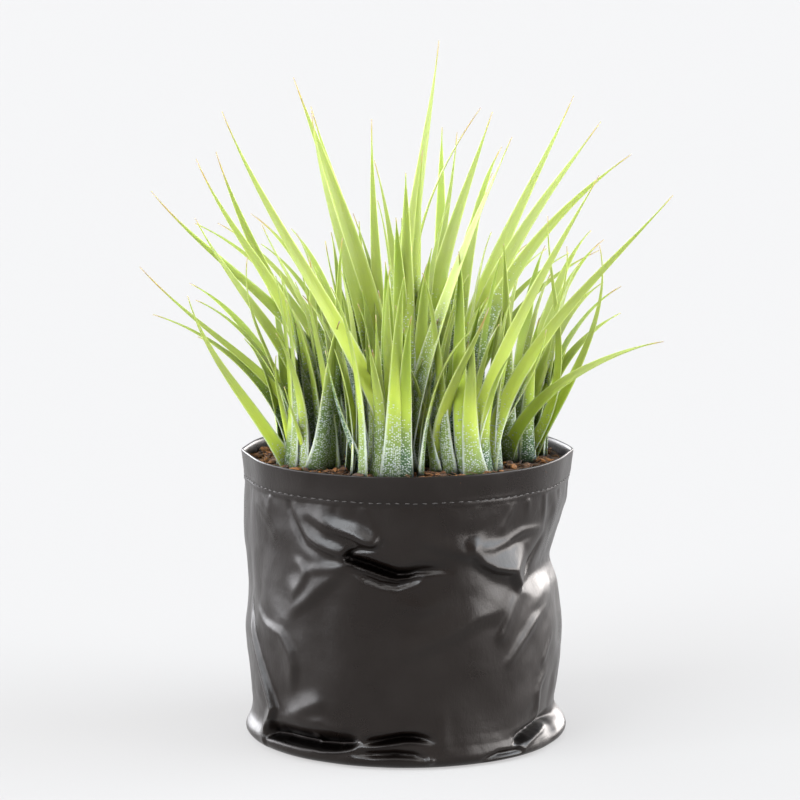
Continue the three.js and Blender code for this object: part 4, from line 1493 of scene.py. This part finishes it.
@dataclass
class Rosette:
    """One rosette: a short crown with its leaves grown into it."""

    name: str
    centre: Pair
    hearts: int
    leaves: tuple[Leaf, ...] = ()
    tall: float = 1.0
    outer: Outer | None = None
    skirt: int = 9
    blade: Blade = Blade()

    crown_radius: float = 11.2
    crown_depth: float = 22.0
    crown_dome: float = 4.5
    crown_sides: int = 28
    heart_rise: Pair = (44, 80)
    heart_reach: Pair = (4, 14)
    heart_width: Pair = (8.5, 10.5)
    heart_ring: float = 6.5
    outer_width: Pair = (6.5, 9.5)
    outer_ring: float = 8.0
    outer_inner: float = 0.65
    skirt_ring: Pair = (9.5, 13.0)
    skirt_rise: Pair = (38, 86)
    skirt_reach: Pair = (5, 20)
    skirt_width: Pair = (5.6, 8.0)
    skirt_spread: float = 115.0
    skirt_uneven: Pair = (-0.35, 0.35)
    heart_scurf: Pair = (0.25, 0.6)
    other_scurf: Pair = (0.15, 0.5)
    tones: Pair = (-0.7, 0.8)
    driest: float = 0.9
    first_seed: int = 900
    numbers: int = 40

    def ruled(self, root: Pair, angle: float, reach: float, rise: float, width: float) -> Leaf:
        """A leaf placed by rule: it leans away from its root along an angle."""

        def at(share: float, climb: float) -> Point:
            """The place at a share of the reach and of the rise."""
            x = root[0] + math.cos(angle) * reach * share
            y = root[1] + math.sin(angle) * reach * share
            return (x, y, SOIL_TOP + rise * climb)

        front = 0.3 * abs(math.cos(angle))
        return Leaf(root, at(0.16, 0.4), at(0.5, 0.76), at(1, 1), width, front)

    def _off_centre(self, away: float, angle: float) -> Pair:
        """The place at a distance from the crown's middle along an angle."""
        x, y = self.centre
        return (x + away * math.cos(angle), y + away * math.sin(angle))

    def heart_leaves(self, dice: Dice) -> list[Leaf]:
        """The short leaves that fill the crown."""
        made = []
        golden = math.pi * (3 - math.sqrt(5))
        for k in range(self.hearts):
            away = self.heart_ring * math.sqrt((k + 0.5) / self.hearts)
            root = self._off_centre(away, k * golden + dice.draw())
            rise = dice.between(*self.heart_rise) * self.tall
            reach = dice.between(*self.heart_reach)
            width = dice.between(*self.heart_width)
            made.append(self.ruled(root, math.atan2(root[1], root[0]), reach, rise, width))
        return made

    def outer_leaves(self, dice: Dice) -> list[Leaf]:
        """The arching leaves on the hidden side."""
        made = []
        if self.outer is None:
            return made
        for k in range(self.outer.count):
            share = (k + 0.2 + 0.6 * dice.draw()) / self.outer.count
            angle = math.radians(self.outer.start + (self.outer.end - self.outer.start) * share)
            root = self._off_centre(self.outer_ring * (self.outer_inner if k % 2 else 1), angle)
            reach = dice.between(*self.outer.reach)
            rise = dice.between(*self.outer.rise)
            made.append(self.ruled(root, angle, reach, rise, dice.between(*self.outer_width)))
        return made

    def skirt_leaves(self, random: Random) -> list[Leaf]:
        """Short scurfy leaves packed round the side of the crown that faces out."""
        made = []
        outward = math.degrees(math.atan2(self.centre[1], self.centre[0]))
        for k in range(self.skirt):
            share = (k + 0.5 + random.uniform(*self.skirt_uneven)) / self.skirt
            angle = math.radians(outward + self.skirt_spread * (2 * share - 1))
            root = self._off_centre(random.uniform(*self.skirt_ring), angle)
            lean = angle + random.uniform(*self.skirt_uneven)
            reach = random.uniform(*self.skirt_reach)
            rise = random.uniform(*self.skirt_rise)
            made.append(self.ruled(root, lean, reach, rise, random.uniform(*self.skirt_width)))
        return made

    def _crown(self, shape: Shape) -> None:
        """Adds the crown: a short round stem with a domed top."""
        depth = self.crown_depth
        dome = self.crown_dome
        turn = circle(self.crown_sides)
        profile = ((0.8, -depth), (1, -depth * 0.7), (1, -0.5), (0.8, dome * 0.5), (0.4, dome * 0.9))
        stem = [ring(self.crown_radius * share, turn, level) for share, level in profile]
        rings = np.array(stem) + [*self.centre, SOIL_TOP]
        none = np.zeros(rings.shape)
        # At 0 along the blade, the leaf finish paints the crown with its full painted shade and sheath
        # dark
        kept = {"place": none, "blade": rings, "habit": none + [0, 0, -1]}
        low = np.array([*self.centre, SOIL_TOP - depth])
        high = np.array([*self.centre, SOIL_TOP + dome])
        shape.skin(rings, low, high, kept)

    def build(self, dice: Dice, number: int, material: bpy.types.Material) -> None:
        """The whole rosette as one piece.

        Args:
            dice: draws shared by the rosettes in their order.
            number: the rosette's place in that order.
            material: the leaves' finish.
        """
        random = np.random.default_rng(self.first_seed + number)
        shape = Shape()
        self._crown(shape)
        own = number * self.numbers
        placed = [*self.heart_leaves(dice), *self.outer_leaves(dice), *self.skirt_leaves(random)]
        for k, leaf in enumerate(placed):
            scurf = random.uniform(*(self.heart_scurf if k < self.hearts else self.other_scurf))
            tone = random.uniform(*self.tones)
            dry = random.uniform(0, self.driest) ** 2
            grown = replace(leaf, scurf=scurf, tone=tone, dry=dry)
            self.blade.add(shape, grown, self.centre, own + k, random)
        for k, leaf in enumerate(self.leaves, len(placed)):
            self.blade.add(shape, leaf, self.centre, own + k, random)
        shape.build(f"leaves_{self.name}", material, Slot.LEAF, f"rosette_{self.name}")


# The leaves that the photograph shows, rosette by rosette
LEFT_LEAVES = (
    Leaf((-41, -17), (-56, -23, 124), (-69, -31, 146), (-78, -40, 169), 6.2, 0.6, 0.08, 0.5, 0.2),
    Leaf((-40, -13), (-45, -19, 122), (-47, -24, 134), (-47, -30, 146), 3.2, 0.3, 0.12, 0.4, 0.2),
    Leaf((-40, -10), (-47, -18, 135), (-55, -25, 158), (-57, -32, 182), 3.9, 0.5, 0.2, 0.3, 0.4),
    Leaf((-36, -21), (-39, -24, 114), (-41, -28, 124), (-44, -32, 135), 5, 0.3, 0.2, 0.4, 0.2),
    Leaf((-33, -6), (-48, -11, 131), (-71, -12, 152), (-97, -12, 176), 4.6, 0.8, 0.2, 0.1, 0.9),
    Leaf((-30, -12), (-40, -16, 136), (-58, -20, 166), (-76, -24, 195), 7.4, 0.7, 0.4, 0.2, 0.3),
    Leaf((-26, -18), (-29, -23, 127), (-33, -29, 154), (-38, -36, 180), 7.4, 0.3, 0.2, 0.9, 0.2),
    Leaf((-26, -10), (-30, -16, 141), (-40, -21, 168), (-52, -26, 193), 6.6, 0.5, 0.5, 0.1, 0.3),
    Leaf((-29, -8), (-40, -10, 151), (-58, -5, 182), (-77, 2, 214), 6.8, 0.8, 0.3, 0.1, 0.7),
    Leaf((-27, -8), (-33, -8, 142), (-61, -8, 172), (-93, -6, 203), 7, -0.8, 0.5, 0.3, 0.8),
)
FRONT_LEAVES = (
    Leaf((-1, -31), (-20, -35, 149), (-44, -39, 192), (-65, -45, 235), 8, 0.7, 0.12, 0.8, 0.5),
    Leaf((-9, -36), (-9, -38, 122), (-10, -42, 143), (-11, -47, 163), 6.2, 0, 0.22, 0.8, 0.3),
    Leaf((-3, -34), (-5, -36, 128), (-7, -39, 154), (-6, -42, 180), 8, 0, 0.3, 0.7, 0.3),
    Leaf((1, -29), (-1, -32, 123), (-2, -34, 144), (-4, -36, 165), 6, 0, 0.8, -0.4, 0.2),
    Leaf((0, -24), (8, -31, 145), (21, -38, 186), (37, -45, 226), 12, 0.5, 0.42, 0.5, 0.3),
    Leaf((-14, -31), (-22, -33, 119), (-26, -35, 133), (-29, -38, 149), 8, 0.2, 0.8, -0.3, 0.2),
    Leaf((-13, -23), (-18, -26, 126), (-22, -28, 146), (-27, -30, 166), 10, 0.2, 0.8, -0.3, 0.3),
)
FRONT_RIGHT_LEAVES = (
    Leaf((13, -25), (14, -31, 123), (21, -40, 145), (29, -50, 166), 9.5, 0.2, 0.24, 0.8, 1),
    Leaf((19, -29), (32, -32, 140), (49, -37, 177), (68, -41, 212), 7, 0.7, 0.2, 0.6, 0.4),
    Leaf((26, -26), (42, -27, 140), (67, -29, 173), (95, -31, 204), 6.6, 0.8, 0.15, 0.5, 0.3),
    Leaf((27, -18), (35, -24, 120), (44, -29, 137), (50, -34, 156), 8, 0.4, 0.6, 0, 0.3),
    Leaf((18, -16), (27, -15, 149), (49, -9, 187), (82, -1, 216), 9, 0.8, 0.5, 0.2, 0.4),
)
RIGHT_LEAVES = (
    Leaf((46, 0), (58, -4, 128), (69, -8, 155), (70, -13, 184), 5.6, 0.6, 0.1, 0.3, 0.3),
    Leaf((42, -3), (55, -6, 133), (54, -11, 164), (51, -17, 195), 5, 0.6, 0.15, 0.4, 0.3),
    Leaf((35, 0), (41, -8, 130), (53, -13, 156), (58, -16, 184), 4, 0.6, 0.3, 0.1, 0.3),
    Leaf((36, -4), (48, -17, 126), (68, -28, 143), (92, -36, 152), 5.8, 0.7, 0.12, 0.3, 0.5),
)
REAR_LEFT_LEAVES = (
    Leaf((-21, 11), (-37, 10, 140), (-55, 9, 178), (-70, 8, 216), 8.6, 0.8, 0.3, 0.1, 0.7),
    Leaf((-10, 20), (-12, 19, 147), (-25, 23, 195), (-42, 28, 242), 12, 0.6, 0.25, 0.3, 0.6),
    Leaf((-10, 12), (-14, 13, 143), (-26, 12, 187), (-35, 12, 231), 9.5, 0.6, 0.35, 0.1, 0.4),
    Leaf((-12, 22), (-15, 26, 155), (-24, 34, 193), (-36, 44, 230), 7.5, 0.5, 0.3, -0.1, 0.5),
    Leaf((-8, 18), (-10, 20, 140), (-12, 26, 183), (-13, 34, 226), 8, 0.3, 0.3, 0, 0.4),
    Leaf((-8, 12), (-4, 13, 138), (-5, 17, 176), (-12, 20, 212), 7.5, 0.3, 0.35, 0, 0.4),
    Leaf((-9, 16), (-9, 18, 139), (-12, 23, 165), (-20, 30, 191), 6.5, 0.3, 0.4, -0.3, 0.4),
    Leaf((-18, 10), (-20, 9, 136), (-25, 10, 159), (-30, 10, 183), 5, 0.4, 0.5, -0.2, 0.4),
)
REAR_RIGHT_LEAVES = (
    Leaf((5, 14), (0, 16, 152), (5, 19, 204), (12, 22, 256), 11.5, 0.3, 0.3, 0.2, 0.4),
    Leaf((7, 12), (2, 10, 155), (8, 5, 196), (27, -1, 233), 9.6, 0.3, 0.35, 0.4, 0.8),
    Leaf((9, 17), (9, 20, 149), (14, 28, 185), (19, 36, 221), 7, 0.3, 0.4, -0.2, 0.4),
    Leaf((8, 13), (10, 16, 152), (19, 23, 191), (32, 30, 229), 10.5, 0.4, 0.35, 0.1, 0.4),
    Leaf((17, 20), (26, 22, 154), (43, 32, 194), (63, 44, 234), 9.5, 0.6, 0.25, 0.2, 0.5),
    Leaf((19, 13), (28, 14, 153), (47, 17, 191), (72, 22, 226), 9.5, 0.7, 0.3, 0.3, 0.5),
)

# Each rosette's name, crown, number of leaves placed by rule, and own leaves
ROSETTES = (
    Rosette("left", (-33, -14), 4, LEFT_LEAVES, outer=Outer(4, 140, 200, (34, 52), (44, 70))),
    Rosette("front", (-7, -28), 6, FRONT_LEAVES),
    Rosette("front_right", (20, -22), 6, FRONT_RIGHT_LEAVES),
    Rosette("right", (39, 4), 3, RIGHT_LEAVES, outer=Outer(6, -8, 78, (26, 50), (46, 84)), skirt=6),
    Rosette("middle", (2, -5), 9, tall=1.5, skirt=7),
    Rosette("rear_left", (-14, 15), 3, REAR_LEFT_LEAVES, outer=Outer(7, 98, 172, (34, 66), (66, 118))),
    Rosette("rear_right", (12, 17), 3, REAR_RIGHT_LEAVES, outer=Outer(8, 22, 92, (30, 62), (70, 122))),
)
LEAF_SEED = 20417


@dataclass(frozen=True)
class SoftBox:
    """A soft light: its heading and height, half width and half height in degrees."""

    heading: float
    height: float
    wide: float
    tall: float
    strength: float
    tint: Point


@dataclass
class Studio:
    """The pale floor, the soft light all round, and the camera."""

    floor_reach: float = 40.0
    eye: Point = (-0.0024, -1.290, 0.331)
    dip_deg: float = 9.07
    lens: float = 159.3
    sensor: float = 36.0
    room: Colour = colour(0.50, 0.51, 0.53)
    front: Colour = colour(0.58, 0.565, 0.55)
    front_heading: Point = (0.0, -0.985, 0.17)
    front_span: Pair = (0.72, 0.97)
    front_share: float = 0.9
    box_facing: Pair = (0.0, 0.05)
    box_edge: Pair = (1.15, 0.8)
    boxes: tuple[SoftBox, ...] = (
        SoftBox(158, 6, 50, 18, 13.5, (0.96, 0.965, 1.0)),
        SoftBox(16, 3, 54, 12, 15.0, (1.0, 0.955, 0.93)),
        SoftBox(-4, 30, 26, 14, 13.0, (0.86, 0.93, 1.0)),
        SoftBox(-140, 38, 20, 16, 19.0, (0.90, 0.95, 1.0)),
        SoftBox(-90, 64, 48, 13, 5.4, (1.0, 1.0, 0.99)),
    )
    finish: FloorFinish = FloorFinish()

    def build(self) -> None:
        """Sets the floor, the light and the camera."""
        self._floor()
        self._light()
        self._camera()

    def _floor(self) -> None:
        """A wide flat floor at the bag's foot."""
        reach = self.floor_reach
        mesh = bpy.data.meshes.new("studio_floor")
        corners = [(-reach, -reach, 0), (reach, -reach, 0), (reach, reach, 0), (-reach, reach, 0)]
        mesh.from_pydata(corners, [], [(0, 1, 2, 3)])
        mesh.materials.append(self.finish.material())
        floor = bpy.data.objects.new("studio_floor", mesh)
        bpy.context.scene.collection.objects.link(floor)

    def _light(self) -> None:
        """Light from all round, a little warmer from the front, with the soft boxes in it."""
        world = bpy.data.worlds.new("studio_light")
        world.use_nodes = True
        graph = Graph(world.node_tree)
        heading = graph.node("ShaderNodeTexCoord", "Generated")
        ahead = graph.along(heading, self.front_heading).ramp(*self.front_span)
        light = graph.mix(ahead * self.front_share, self.room, self.front)
        for box in self.boxes:
            bright = colour(*(box.strength * part for part in box.tint))
            light = graph.mix(self._facing(graph, heading, box), light, bright)
        shader = graph.node("ShaderNodeBackground", "Background", None, {"Color": light})
        graph.end("ShaderNodeOutputWorld", shader)
        bpy.context.scene.world = world

    def _facing(self, graph: Graph, heading: Value, box: SoftBox) -> Value:
        """How far a heading lies inside a soft box, from 0 to 1."""
        yaw = math.radians(box.heading)
        rise = math.radians(box.height)
        middle = (math.cos(rise) * math.cos(yaw), math.cos(rise) * math.sin(yaw), math.sin(rise))
        side = (-math.sin(yaw), math.cos(yaw), 0.0)
        over = (-math.sin(rise) * math.cos(yaw), -math.sin(rise) * math.sin(yaw), math.cos(rise))
        facing = graph.along(heading, middle).ramp(*self.box_facing)
        for axis, reach in ((side, box.wide), (over, box.tall)):
            edge = math.sin(math.radians(reach))
            outer, inner = self.box_edge
            facing = facing * graph.along(heading, axis).size().ramp(edge * outer, edge * inner)
        return facing

    def _camera(self) -> None:
        """The camera at the photograph's place."""
        data = bpy.data.cameras.new("photo_camera")
        data.lens = self.lens
        data.sensor_width = self.sensor
        camera = bpy.data.objects.new("photo_camera", data)
        camera.location = self.eye
        camera.rotation_euler = (math.radians(90 - self.dip_deg), 0, 0)
        bpy.context.scene.collection.objects.link(camera)
        bpy.context.scene.camera = camera
        bpy.context.scene.view_settings.view_transform = "Standard"


def main() -> None:
    """Loads the solids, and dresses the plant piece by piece."""
    logging.basicConfig(level=logging.INFO, format="%(message)s")
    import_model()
    Studio().build()
    bag = GrowBag()
    bag.build()
    Stitching(bag).build()
    soil = Soil(bag)
    soil.build_bed()
    soil.build_chips()
    dice = Dice(LEAF_SEED)
    leaf_material = LeafFinish().material()
    for number, rosette in enumerate(ROSETTES):
        rosette.build(dice, number, leaf_material)


if __name__ == "__main__":
    main()
